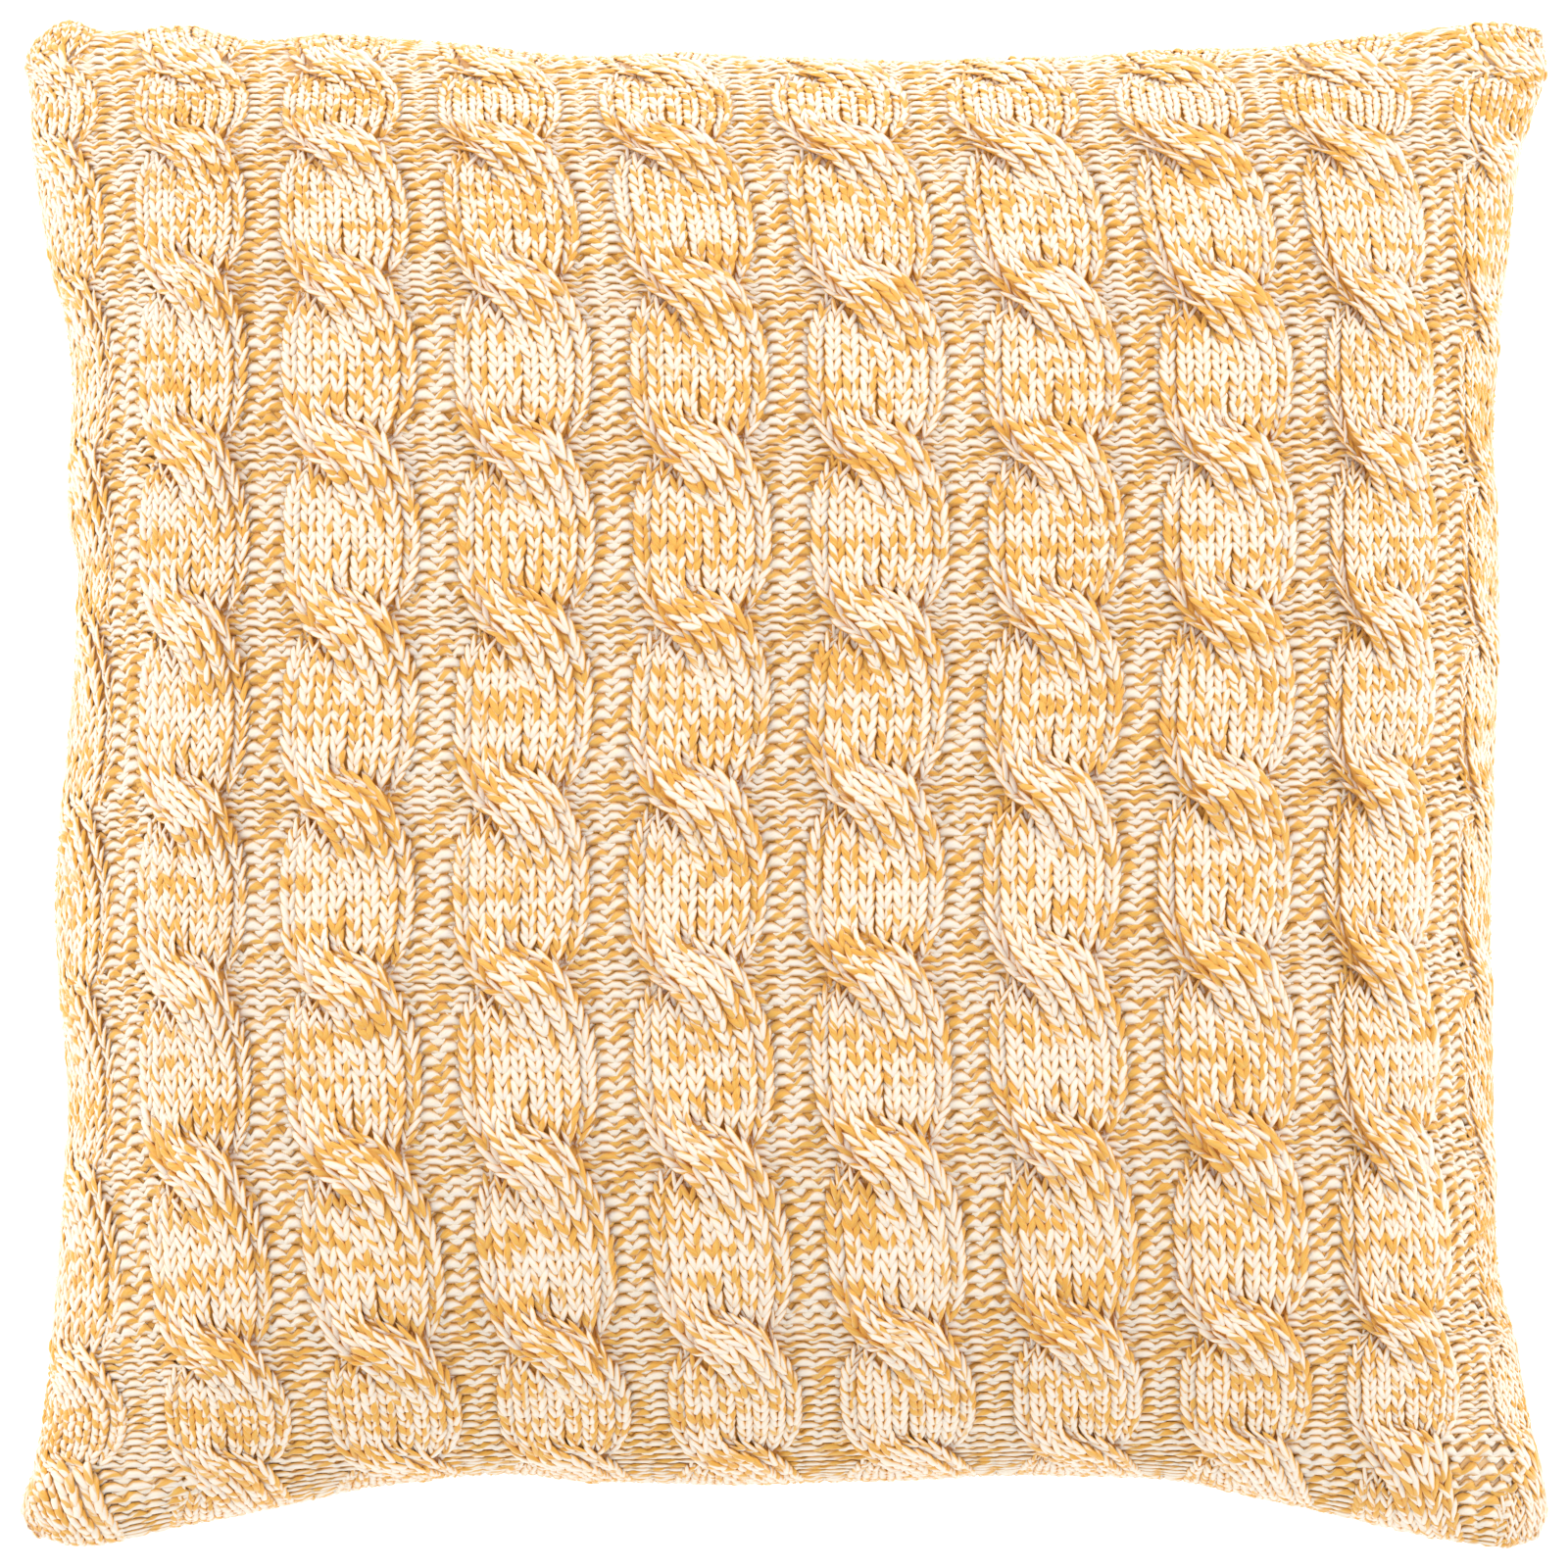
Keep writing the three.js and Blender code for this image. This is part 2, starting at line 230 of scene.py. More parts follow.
@dataclass(frozen=True)
class KnitPlan:
    """Where the knit lies on the cushion: its outline, columns, courses and crown.

    Attributes:
        side_roundness: How squarely the face bulges: 2 is round, more is squarer.
        fuller_foot: How far the fullest part of the face lies below its middle.
        floor_blend: Height over which the back settles on the floor.
        lump_x, lump_y: Length of the filling's lumps each way, and their start in radians.
        side_drift: Share of the gutters' drift that the left side takes.
        top_shift_to: Where, down the cushion, the shift of the top side's gutters has faded out.
        bottom_shift_from: Where the shift towards the bottom side starts.
        droop_strip: Pitches inside the outer gutter from which the courses droop to the side.
        droop_ends: Repeats over which the droop fades in and out at the top and bottom side.
        bends: Rounds in which columns and courses are fitted to each other.
    """

    half_side: float = 300
    seam_height: float = 72
    corner_droop: float = 12
    crown_rise: float = 92
    back_bulge: float = 100
    side_roundness: float = 2.6
    fuller_foot: float = 0.05
    floor_blend: float = 6
    fill_unevenness: float = 1.4
    lump_x: tuple[float, float] = (47, 0.6)
    lump_y: tuple[float, float] = (61, -0.9)
    outer_gutter: float = 4
    seam_across: float = 4.86
    first_crossing: float = 0
    last_crossing: float = 9
    seam_down_top: float = -0.35
    seam_down_bottom: float = 9.5
    side_drift: float = 0.25
    top_shift_to: float = 2.4
    bottom_shift_from: float = 6.5
    edge_course_droop: float = 9
    droop_strip: float = 0.4
    droop_ends: float = 2
    bends: int = 6

    def top(self, x: Array) -> Array:
        """Height of the top side at x."""
        return self.half_side - TOP_SIDE.read("inset", x)

    def bottom(self, x: Array) -> Array:
        """Height of the bottom side at x."""
        return BOTTOM_SIDE.read("inset", x) - self.half_side

    def left(self, y: Array) -> Array:
        """Place of the left side at height y."""
        return LEFT_SIDE.read("inset", y) - self.half_side

    def right(self, y: Array) -> Array:
        """Place of the right side at height y."""
        return self.half_side - RIGHT_SIDE.read("inset", y)

    @staticmethod
    def roll_to_seam(start: Array, seam: Array, past: Array, length: float) -> Array:
        """Rolls the surface over, from the last line of the face's own grid to the seam."""
        return start + (seam - start) * np.sin(math.pi / 2 * np.clip(past / length, 0, 1))

    def column_x(self, across: Array, down: Array, y: Array) -> Array:
        """Place of a column of the knit at height y.

        Args:
            across: Places in cable pitches.
            down: Places in crossing repeats.
            y: Heights of the same places.

        Returns:
            Their x.
        """
        inner = np.clip(across, -self.outer_gutter, self.outer_gutter)
        distance = GUTTERS.read("distance", np.abs(inner))
        loose = smooth_step(-self.outer_gutter, -self.outer_gutter / 2, inner)
        loose = self.side_drift + (1 - self.side_drift) * loose
        x = np.sign(inner) * distance + loose * CROSSINGS.read("drift", down)
        lower = smooth_step(self.bottom_shift_from, self.last_crossing, down)
        x = x + SIDEWAYS.read("top", inner) * (1 - smooth_step(0, self.top_shift_to, down))
        x = x + SIDEWAYS.read("bottom", inner) * lower
        past = np.abs(across) - self.outer_gutter
        seam = np.where(across < 0, self.left(y), self.right(y))
        rolled = self.roll_to_seam(x, seam, past, self.seam_across - self.outer_gutter)
        return np.where(past <= 0, x, rolled)

    def course_y(self, across: Array, down: Array, x: Array) -> Array:
        """Height of a course of the knit at x.

        Args:
            across: Places in cable pitches.
            down: Places in crossing repeats.
            x: The x of the same places.

        Returns:
            Their heights.
        """
        inner = np.clip(down, self.first_crossing, self.last_crossing)
        drop = CROSSINGS.read("right_drop", inner) * x / self.half_side
        at_side = smooth_step(self.outer_gutter - self.droop_strip, self.seam_across, np.abs(across))
        opened = smooth_step(0, self.droop_ends, inner)
        opened = opened * smooth_step(self.last_crossing, self.last_crossing - self.droop_ends, inner)
        y = CROSSINGS.read("height", inner) - drop - self.edge_course_droop * at_side * opened
        above = self.first_crossing - down
        below = down - self.last_crossing
        rise = self.first_crossing - self.seam_down_top
        fall = self.seam_down_bottom - self.last_crossing
        y = np.where(above > 0, self.roll_to_seam(y, self.top(x), above, rise), y)
        return np.where(below > 0, self.roll_to_seam(y, self.bottom(x), below, fall), y)

    def plan_point(self, across: Array, down: Array) -> tuple[Array, Array]:
        """Place of a stitch seen from above: columns bend with the sides, courses with columns.

        Args:
            across: Places in cable pitches.
            down: Places in crossing repeats.

        Returns:
            Their x and y.
        """
        x = self.column_x(across, down, np.zeros_like(across))
        y = self.course_y(across, down, x)
        for _ in range(self.bends):
            x = self.column_x(across, down, y)
            y = self.course_y(across, down, x)
        return x, y

    def shares(self, x: Array, y: Array) -> tuple[Array, Array]:
        """Shares of the way from the middle to the sides, -1 to 1 each way.

        Args:
            x: The x of the places.
            y: Their y.

        Returns:
            The shares sideways and upwards.
        """
        left, right = self.left(y), self.right(y)
        bottom, top = self.bottom(x), self.top(x)
        a = (2 * x - left - right) / (right - left)
        b = (2 * y - bottom - top) / (top - bottom)
        return np.clip(a, -1, 1), np.clip(b, -1, 1)

    def arch(self, share: Array) -> Array:
        """1 in the middle, falling roundly to 0 at the sides."""
        return np.maximum(1 - np.abs(share) ** self.side_roundness, 0) ** (1 / self.side_roundness)

    def fullness(self, a: Array, b: Array) -> Array:
        """Share of the full thickness: 1 in the middle, 0 at the seam."""
        return self.arch(a) * self.arch(b)

    def seam_z(self, a: Array, b: Array) -> Array:
        """Height of the seam, which droops at the corners."""
        return self.seam_height - self.corner_droop * (a * b) ** 2

    def crown(self, across: Array, down: Array) -> Array:
        """The face without its knit, over the crests of the cables.

        Args:
            across: Places in cable pitches.
            down: Places in crossing repeats.

        Returns:
            The points.
        """
        x, y = self.plan_point(across, down)
        a, b = self.shares(x, y)
        full = self.fullness(a, b)
        wave_x = np.sin(x / self.lump_x[0] + self.lump_x[1])
        wave_y = np.sin(y / self.lump_y[0] + self.lump_y[1])
        lumps = wave_x * wave_y * self.fill_unevenness * full
        crown = self.crown_rise * self.fullness(a, b + self.fuller_foot * (1 - b**2))
        return np.stack([x, y, self.seam_z(a, b) + crown + lumps], -1)

    def back(self, edge_x: Array, edge_y: Array, scale: Array) -> Array:
        """The back, from the seam at scale 1 to its flat rest in the middle.

        Args:
            edge_x: The x of points on the seam.
            edge_y: Their y.
            scale: How far each point is drawn in towards the middle.

        Returns:
            The points.
        """
        a, b = self.shares(edge_x, edge_y)
        z = self.seam_z(a, b) - self.back_bulge * self.fullness(a * scale, b * scale)
        soft = np.maximum(z + self.floor_blend, 0) ** 2 / (4 * self.floor_blend)
        z = np.where(z >= self.floor_blend, z, soft)
        return np.stack([edge_x * scale, edge_y * scale, z], -1)


@dataclass(frozen=True)
class CableRelief:
    """Heights of the knit over the crown, in millimetres.

    Attributes:
        reach: How far from a crossing the strands rise and sink, in repeats.
        late: How far past the crossing the front strand is highest, in repeats.
        switch: Where the cable's left edge passes from the front strand to the back one.
        aside: How much of the normal's slant the crests keep.
        side_power, side_root: How flat a cable's crest is, and how steep its sides are.
    """

    gutter_depth: float = 6.4
    strand_rise: float = 6
    tuck_depth: float = 4.5
    reach: float = 0.25
    tuck_width: float = 0.07
    at_seam: float = 0.2
    late: float = 0.04
    switch: float = 0.09
    aside: float = 0.4
    side_power: float = 3
    side_root: float = 0.7
    roll_power: float = 3

    def way(self, normals: Array) -> Array:
        """The way that crests rise and gutters sink: steeper than the surface's normal."""
        return unit(normals * np.array([self.aside, self.aside, 1.0]))

    def edges(self, past: Array) -> tuple[Array, Array]:
        """Left and right edge of a cable, in pitches from its middle.

        Args:
            past: Repeats past the crossing.

        Returns:
            The left and the right edge.
        """
        left = np.where(
            past < self.switch,
            STRAND_EDGES.read("left", past),
            RISING_STRAND.read("left", past),
        )
        right = np.where(past < 0, SINKING_STRAND.read("right", past), STRAND_EDGES.read("right", past))
        return left, right

    def gutter_share(self, offset: Array, past: Array, inset: float = 0.0) -> Array:
        """0 on the crest of a cable, rising to 1 in the gutter beside it.

        Args:
            offset: Pitches from the cable's middle.
            past: Repeats past the crossing.
            inset: How much narrower the cable is, in pitches a side.

        Returns:
            The share.
        """
        left, right = self.edges(past)
        half = np.where(offset < 0, -left, right) - inset
        share = np.clip(np.abs(offset) / half, 0, 1)
        return 1 - (1 - share**self.side_power) ** self.side_root

    def near(self, past: Array) -> Array:
        """1 at a crossing, fading to 0 between crossings."""
        return np.exp(-(((past - self.late) / self.reach) ** 2))

    def height(
        self,
        across: Array,
        down: Array,
        in_front: Array | None = None,
        inset: float = 0.0,
    ) -> Array:
        """Height over the crown.

        Args:
            across: Places in cable pitches.
            down: Places in crossing repeats.
            in_front: True where the place belongs to the front strand, or None to find out.
            inset: How much narrower all strands are than the knit's, in pitches a side.

        Returns:
            Millimetres along the way that crests rise.
        """
        offset = across - (np.floor(across) + 0.5)
        past = down - np.round(down)
        sunk = self.gutter_share(offset, past, inset)
        front_left = STRAND_EDGES.read("left", past)
        front_right = STRAND_EDGES.read("right", past)
        from_middle = np.abs(offset - (front_left + front_right) / 2)
        half = (front_right - front_left) / 2
        if in_front is None:
            in_front = from_middle < half - inset
        rolled = 1 - np.clip(from_middle / (half - inset), 0, 1) ** self.roll_power
        gap = np.maximum(from_middle - half, 0)
        tucked = np.exp(-((gap / self.tuck_width) ** 2)) * (sunk < 1)
        lift = np.where(in_front, self.strand_rise * rolled, -self.tuck_depth * tucked)
        height = lift * self.near(past) - self.gutter_depth * sunk
        return np.maximum(height, -self.gutter_depth)


@dataclass
class Surface:
    """A grid of surface points and normals, read anywhere between its lines.

    Attributes:
        u: Places of the columns, rising evenly.
        v: Places of the rows, rising evenly.
        points: Millimetres, one row of the grid after another.
        wraps: True where the last column joins the first.
    """

    u: Array
    v: Array
    points: Array
    wraps: bool = False
    normals: Array = field(init=False)

    def __post_init__(self) -> None:
        """Works out the normals."""
        points = self.points
        if self.wraps:
            points = np.concatenate([points[:, -2:-1], points, points[:, 1:2]], 1)
        du = np.gradient(points, axis=1)
        dv = np.gradient(points, axis=0)
        normals = unit(np.cross(dv, du))
        self.normals = normals[:, 1:-1] if self.wraps else normals

    @staticmethod
    def blend(grid: Array, fu: Array, fv: Array) -> Array:
        """Reads a grid at fractional places, linearly each way.

        Args:
            grid: Values, rows by columns.
            fu: Places counted in columns.
            fv: Places counted in rows.

        Returns:
            The values there.
        """
        rows, columns = grid.shape[:2]
        j = np.clip(np.floor(fv).astype(int), 0, rows - 2)
        i = np.clip(np.floor(fu).astype(int), 0, columns - 2)
        s = np.clip(fv - j, 0, 1)[..., None]
        t = np.clip(fu - i, 0, 1)[..., None]
        upper = grid[j, i] * (1 - t) + grid[j, i + 1] * t
        lower = grid[j + 1, i] * (1 - t) + grid[j + 1, i + 1] * t
        return upper * (1 - s) + lower * s

    def sample(self, u: Array, v: Array) -> tuple[Array, Array]:
        """Surface points and normals at places between the grid's lines.

        Args:
            u: Places among the columns.
            v: Places among the rows.

        Returns:
            The points and the normals.
        """
        fu = (u - self.u[0]) / (self.u[1] - self.u[0])
        if self.wraps:
            fu = np.mod(fu, len(self.u) - 1)
        fv = (v - self.v[0]) / (self.v[1] - self.v[0])
        return self.blend(self.points, fu, fv), unit(self.blend(self.normals, fu, fv))


def place_object(name: str, data: bpy.types.ID) -> bpy.types.Object:
    """Puts a mesh, a lamp or a camera in the scene as an object.

    Args:
        name: Name of the object.
        data: What it shows.

    Returns:
        The object.
    """
    obj = bpy.data.objects.new(name, data)
    bpy.context.scene.collection.objects.link(obj)
    return obj


def new_mesh_object(
    name: str,
    vertices: Array,
    faces: list[tuple[int, ...]],
    smooth: bool = True,
) -> bpy.types.Object:
    """Makes a mesh object from points in millimetres.

    Args:
        name: Name of the object and of its mesh.
        vertices: Points in millimetres.
        faces: Corners of each face.
        smooth: True where the faces are shaded smoothly.

    Returns:
        The object, linked to the scene.
    """
    mesh = bpy.data.meshes.new(name)
    mesh.from_pydata((np.asarray(vertices) * MM).tolist(), [], [list(map(int, f)) for f in faces])
    if smooth:
        mesh.shade_smooth()
    mesh.update()
    return place_object(name, mesh)


def triangle_count(obj: bpy.types.Object) -> int:
    """Number of triangles in an object's mesh."""
    return sum(len(p.vertices) - 2 for p in obj.data.polygons)


def settle(piece: bpy.types.Object) -> None:
    """Ties a finished piece to the frame.

    Args:
        piece: The piece.
    """
    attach(piece, BODY)
    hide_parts(NODE)
    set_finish(piece, SLOT)
    log.info("%s: %d triangles", piece.name, triangle_count(piece))


@dataclass(frozen=True)
class ClothRun:
    """The cushion's cover as cloth, blown up by the filling over a few frames."""

    pressure: float = 4
    frames: int = 20
    quality: int = 6
    mass: float = 0.3
    stretch_stiffness: float = 12
    shear_stiffness: float = 6
    bending_stiffness: float = 0.4

    def run(self, obj: bpy.types.Object, held: list[int]) -> Array:
        """Blows a closed body up, and removes it afterwards.

        Args:
            obj: The body.
            held: Numbers of the points that stay where they are.

        Returns:
            Where the points lie after the run, in millimetres.
        """
        group = obj.vertex_groups.new(name="held")
        group.add(held, 1.0, "REPLACE")
        cloth = obj.modifiers.new("Cloth", "CLOTH")
        settings = cloth.settings
        settings.quality = self.quality
        settings.mass = self.mass
        settings.use_pressure = True
        settings.uniform_pressure_force = self.pressure
        settings.vertex_group_mass = group.name
        settings.tension_stiffness = self.stretch_stiffness
        settings.compression_stiffness = self.stretch_stiffness
        settings.shear_stiffness = self.shear_stiffness
        settings.bending_stiffness = self.bending_stiffness
        settings.effector_weights.gravity = 0
        cloth.collision_settings.use_collision = False
        cloth.collision_settings.use_self_collision = False
        cloth.point_cache.frame_start = 1
        cloth.point_cache.frame_end = self.frames
        scene = bpy.context.scene
        for number in range(1, self.frames + 1):
            scene.frame_set(number)
        evaluated = obj.evaluated_get(bpy.context.evaluated_depsgraph_get())
        moved = np.zeros(len(obj.data.vertices) * 3)
        evaluated.data.vertices.foreach_get("co", moved)
        scene.frame_set(1)
        bpy.data.objects.remove(obj)
        return moved.reshape(-1, 3) / MM


@dataclass
class FilledBody:
    """The filled cushion under the stitches: swollen by a cloth simulation, then given the knit's
    channels and strands.
    """

    plan: KnitPlan
    relief: CableRelief
    cloth: ClothRun = ClothRun()
    cloth_step: float = 0.125
    cloth_inset: float = 3.5
    cloth_cap: float = 2.5
    smoothings: int = 24
    steepest: float = 0.5
    fine_step: float = 0.025
    mesh_step: float = 0.0625
    under_stitches: float = 1.9
    under_rows: float = 0.9
    under_band: float = 1.2
    under_rim: float = 1.6
    inset: float = 0.035
    rings: tuple[float, ...] = (0.985, 0.965, 0.94, 0.91, 0.875, 0.84, 0.8, 0.75, 0.7, 0.55, 0.35)
    band_scale: float = 0.79
    rim_strip: float = 0.08
    # Fullness up to which the ground's painted shade is fully pale, and from which it is fully dark
    pale_rim: float = 0.1
    dark_inside: float = 0.45
    calm_side: float = 0.8
    seam_points: int = 800
    back_rows: int = 200
    swelling: Array | None = None
    shift: Array = field(init=False)

    def __post_init__(self) -> None:
        """Finds how far the outline has to move to be centred over the origin."""
        x, y = self.seam_loop(self.fine_step)
        centre = np.array([x.min() + x.max(), y.min() + y.max(), 0]) / 2
        self.shift = -centre

    def lines(self, step: float) -> tuple[Array, Array]:
        """Evenly spaced grid lines across and down the face.

        Args:
            step: Distance of the lines.

        Returns:
            The places of the columns and of the rows.
        """
        p = self.plan
        columns = round(2 * p.seam_across / step)
        rows = round((p.seam_down_bottom - p.seam_down_top) / step)
        across = np.linspace(-p.seam_across, p.seam_across, columns + 1)
        return across, np.linspace(p.seam_down_top, p.seam_down_bottom, rows + 1)

    @staticmethod
    def loop_places(rows: int, columns: int) -> Array:
        """Grid places (row, column) round the rim of a grid, clockwise from the upper left.

        Args:
            rows: Number of rows.
            columns: Number of columns.

        Returns:
            The places, one a row.
        """
        top = [(0, i) for i in range(columns - 1)]
        right = [(j, columns - 1) for j in range(rows - 1)]
        bottom = [(rows - 1, i) for i in range(columns - 1, 0, -1)]
        left = [(j, 0) for j in range(rows - 1, 0, -1)]
        return np.array(top + right + bottom + left)

    def seam_loop(self, step: float) -> tuple[Array, Array]:
        """The seam seen from above, clockwise from the upper left corner.

        Args:
            step: Distance of its points.

        Returns:
            The x and y of its points.
        """
        across, down = self.lines(step)
        places = self.loop_places(len(down), len(across))
        return self.plan.plan_point(across[places[:, 1]], down[places[:, 0]])

    def crown_grid(self, step: float) -> tuple[Surface, Array, Array]:
        """The crown before it swells, and the places across and down of all its points.

        Args:
            step: Distance of the grid's lines.

        Returns:
            The crown, and the places across and down of its points.
        """
        across, down = self.lines(step)
        grid_across, grid_down = np.meshgrid(across, down)
        points = self.plan.crown(grid_across, grid_down) + self.shift
        return Surface(across, down, points), grid_across, grid_down

    def back_rings(self, face: Array) -> Array:
        """Rings of points on the back, outermost first, for a face grid with its rim on the seam.

        Args:
            face: Grid of points, with its rim on the seam.

        Returns:
            The points of each ring.
        """
        places = self.loop_places(*face.shape[:2])
        edge = face[places[:, 0], places[:, 1]] - self.shift
        rings = [self.plan.back(edge[:, 0], edge[:, 1], np.full(len(edge), s)) for s in self.rings]
        return np.stack(rings) + self.shift

    @staticmethod
    def grid_faces(rows: int, columns: int) -> list[tuple[int, ...]]:
        """Faces of a grid of rows by columns, looking up where rows run down the cushion.

        Args:
            rows: Number of rows.
            columns: Number of columns.

        Returns:
            The corners of each face.
        """
        return [
            (j * columns + i, (j + 1) * columns + i, (j + 1) * columns + i + 1, j * columns + i + 1)
            for j in range(rows - 1)
            for i in range(columns - 1)
        ]

    def closed_shape(self, face: Array, rings: Array) -> tuple[Array, list[tuple[int, ...]], Array]:
        """Closes a face grid with the rings of its back.

        Args:
            face: Grid of points, rows by columns.
            rings: Points of each ring, outermost first, as many as the face's rim has.

        Returns:
            All points, all faces, and the numbers of the rim's points.
        """
        rows, columns = face.shape[:2]
        places = self.loop_places(rows, columns)
        rim = places[:, 0] * columns + places[:, 1]
        faces = self.grid_faces(rows, columns)
        count = len(rim)
        outer = rim
        for r in range(len(rings)):
            inner = rows * columns + r * count + np.arange(count)
            after = np.roll(np.arange(count), -1)
            faces += [tuple(q) for q in np.stack([outer, outer[after], inner[after], inner], 1)]
            outer = inner
        middle = rows * columns + len(rings) * count
        faces += [(int(a), int(b), middle) for a, b in zip(outer, np.roll(outer, -1))]
        centre = rings[-1].mean(0, keepdims=True) * [1, 1, 0]
        points = np.concatenate([face.reshape(-1, 3), rings.reshape(-1, 3), centre])
        return points, faces, rim

    def swell(self) -> None:
        """Keeps the smooth lift of the crown, found by blowing up a slightly smaller body.
        """
        crown, _, _ = self.crown_grid(self.cloth_step)
        start = crown.points - crown.normals * self.cloth_inset
        places = self.loop_places(*start.shape[:2])
        start[places[:, 0], places[:, 1]] = crown.points[places[:, 0], places[:, 1]]
        points, faces, rim = self.closed_shape(start, self.back_rings(crown.points))
        count = start.size // 3
        held = [int(i) for i in rim] + list(range(count, len(points)))
        moved = self.cloth.run(new_mesh_object("cloth_body", points, faces), held)
        moved = moved[:count].reshape(start.shape)
        outward = ((moved - crown.points) * crown.normals).sum(-1)
        log.info("cloth outside the crown: middle %.1f, most %.1f mm", np.median(outward), outward.max())
        self.swelling = self.lifted(outward, crown.normals)

    def lifted(self, outward: Array, normals: Array) -> Array:
        """Turns the cloth's way outward into a smooth lift, so that no stitch moves aside.

        Args:
            outward: How far the cloth lies outside the crown, held to 0 along the seam.
            normals: The crown's normals.

        Returns:
            The move of every point of the crown, straight up.
        """
        smooth = np.clip(outward, -2 * self.cloth_cap, 2 * self.cloth_cap)
        for _ in range(self.smoothings):
            for axis in (0, 1):
                smooth = (np.roll(smooth, 1, axis) + 2 * smooth + np.roll(smooth, -1, axis)) / 4
                smooth[[0, -1], :] = 0
                smooth[:, [0, -1]] = 0
        smooth = np.clip(smooth, -self.cloth_cap, self.cloth_cap)
        lift = smooth / np.maximum(normals[..., 2], self.steepest)
        return lift[..., None] * np.array([0.0, 0.0, 1.0])

    def face_surface(self) -> Surface:
        """The swollen crown on a fine grid.

        Returns:
            The surface.
        """
        crown, grid_across, grid_down = self.crown_grid(self.fine_step)
        coarse_across, coarse_down = self.lines(self.cloth_step)
        fu = (grid_across - coarse_across[0]) / (coarse_across[1] - coarse_across[0])
        fv = (grid_down - coarse_down[0]) / (coarse_down[1] - coarse_down[0])
        return Surface(crown.u, crown.v, crown.points + Surface.blend(self.swelling, fu, fv))

    def back_surface(self) -> Surface:
        """The back and the lower sides, by anticlockwise share of the way round and by shrinking.

        Returns:
            The surface.
        """
        x, y = (line[::-1] for line in self.seam_loop(self.fine_step))
        length = np.hypot(np.diff(x, append=x[0]), np.diff(y, append=y[0]))
        share = np.concatenate([[0], np.cumsum(length)]) / length.sum()
        round_share = np.linspace(0, 1, self.seam_points + 1)
        edge_x = np.interp(round_share, share, np.append(x, x[0]))
        edge_y = np.interp(round_share, share, np.append(y, y[0]))
        shrink = np.linspace(0, 1, self.back_rows + 1)
        points = np.stack([self.plan.back(edge_x, edge_y, np.full(len(edge_x), 1 - s)) for s in shrink])
        return Surface(round_share, shrink, points + self.shift, wraps=True)

    def fullness(self, points: Array) -> Array:
        """Share of the full thickness at points of the face: 1 in the middle, 0 at the seam."""
        shares = self.plan.shares(points[..., 0] - self.shift[0], points[..., 1] - self.shift[1])
        return self.plan.fullness(*shares)

    def fade(self, points: Array) -> Array:
        """Share of the relief that is left near the seam."""
        strength = smooth_step(0, self.calm_side, self.fullness(points))
        return self.relief.at_seam + (1 - self.relief.at_seam) * strength

    def laid_face(self, face: Surface, across: Array, down: Array) -> Array:
        """The face's ground, sunk under the stitches.

        Args:
            face: The swollen crown.
            across: Places across of all points.
            down: Places down of all points.

        Returns:
            The points.
        """
        points, normals = face.sample(across, down)
        offset = across - (np.floor(across) + 0.5)
        in_gutter = self.relief.gutter_share(offset, down - np.round(down), self.inset)
        under = self.under_stitches + (self.under_rows - self.under_stitches) * in_gutter
        height = self.relief.height(across, down, inset=self.inset) * self.fade(points)
        inner = smooth_step(0, self.rim_strip, self.fullness(points))
        sunk = under * inner + self.under_rim * (1 - inner)
        return points + self.relief.way(normals) * (height * inner)[..., None] - normals * sunk[..., None]

    def build(self, face: Surface) -> bpy.types.Object:
        """Makes the closed body that shows between the stitches and on the back.

        Args:
            face: The swollen crown.

        Returns:
            The body, with material slot 0 on its face and sides and slot 1 on its back.
        """
        across, down = np.meshgrid(*self.lines(self.mesh_step))
        points, _ = face.sample(across, down)
        rings = self.back_rings(points)
        share = (1 - np.array(self.rings)) / (1 - self.band_scale)
        inward = self.under_rim + (self.under_band - self.under_rim) * share
        inward = np.where(share < 1, inward, 0)
        rings[..., :2] -= unit(rings[..., :2]) * inward[:, None, None]
        vertices, faces, seam = self.closed_shape(self.laid_face(face, across, down), rings)
        obj = new_mesh_object("filled_body", vertices, faces)
        # rim: 1 on the sides and along the seam, where the ground's painted shade gives way to a pale colour,
        # 0 deep in the face
        rim = np.ones(len(vertices), np.float32)
        rim[: across.size] = 1 - smooth_step(self.pale_rim, self.dark_inside, self.fullness(points)).ravel()
        obj.data.attributes.new("rim", "FLOAT", "POINT").data.foreach_set("value", rim)
        face_count = (across.shape[0] - 1) * (across.shape[1] - 1)
        slots = np.zeros(len(faces), int)
        banded = sum(r > self.band_scale for r in self.rings)
        slots[face_count + banded * len(seam):] = 1
        obj.data.polygons.foreach_set("material_index", slots)
        return obj


@dataclass
class Seats:
    """Places where stitches are set: one row of every array for each stitch."""

    parts: list[tuple[Array, ...]] = field(default_factory=list)

    def add(self, points: Array, normals: Array, runs: Array, scales: Array, phases: Array) -> None:
        """Adds seats.

        Args:
            points: Where the stitches lie.
            normals: Which way they look.
            runs: Which way their yarn runs.
            scales: Size of the yarn, as shares of its own.
            phases: Turns of the yarn's twist.
        """
        self.parts.append((points, normals, runs, scales, phases))

    def to_object(self, name: str) -> bpy.types.Object:
        """A mesh of loose points that carries each seat's direction, size and twist.

        Args:
            name: Name of the object.

        Returns:
            The object.
        """
        points, *vectors, phases = (np.concatenate(part) for part in zip(*self.parts))
        mesh = bpy.data.meshes.new(name)
        mesh.from_pydata((points * MM).tolist(), [], [])
        for key, values in zip(SEAT_VECTORS, vectors):
            layer = mesh.attributes.new(key, "FLOAT_VECTOR", "POINT")
            layer.data.foreach_set("vector", values.astype(np.float32).ravel())
        layer = mesh.attributes.new("phase", "FLOAT", "POINT")
        layer.data.foreach_set("value", phases.astype(np.float32))
        return place_object(name, mesh)


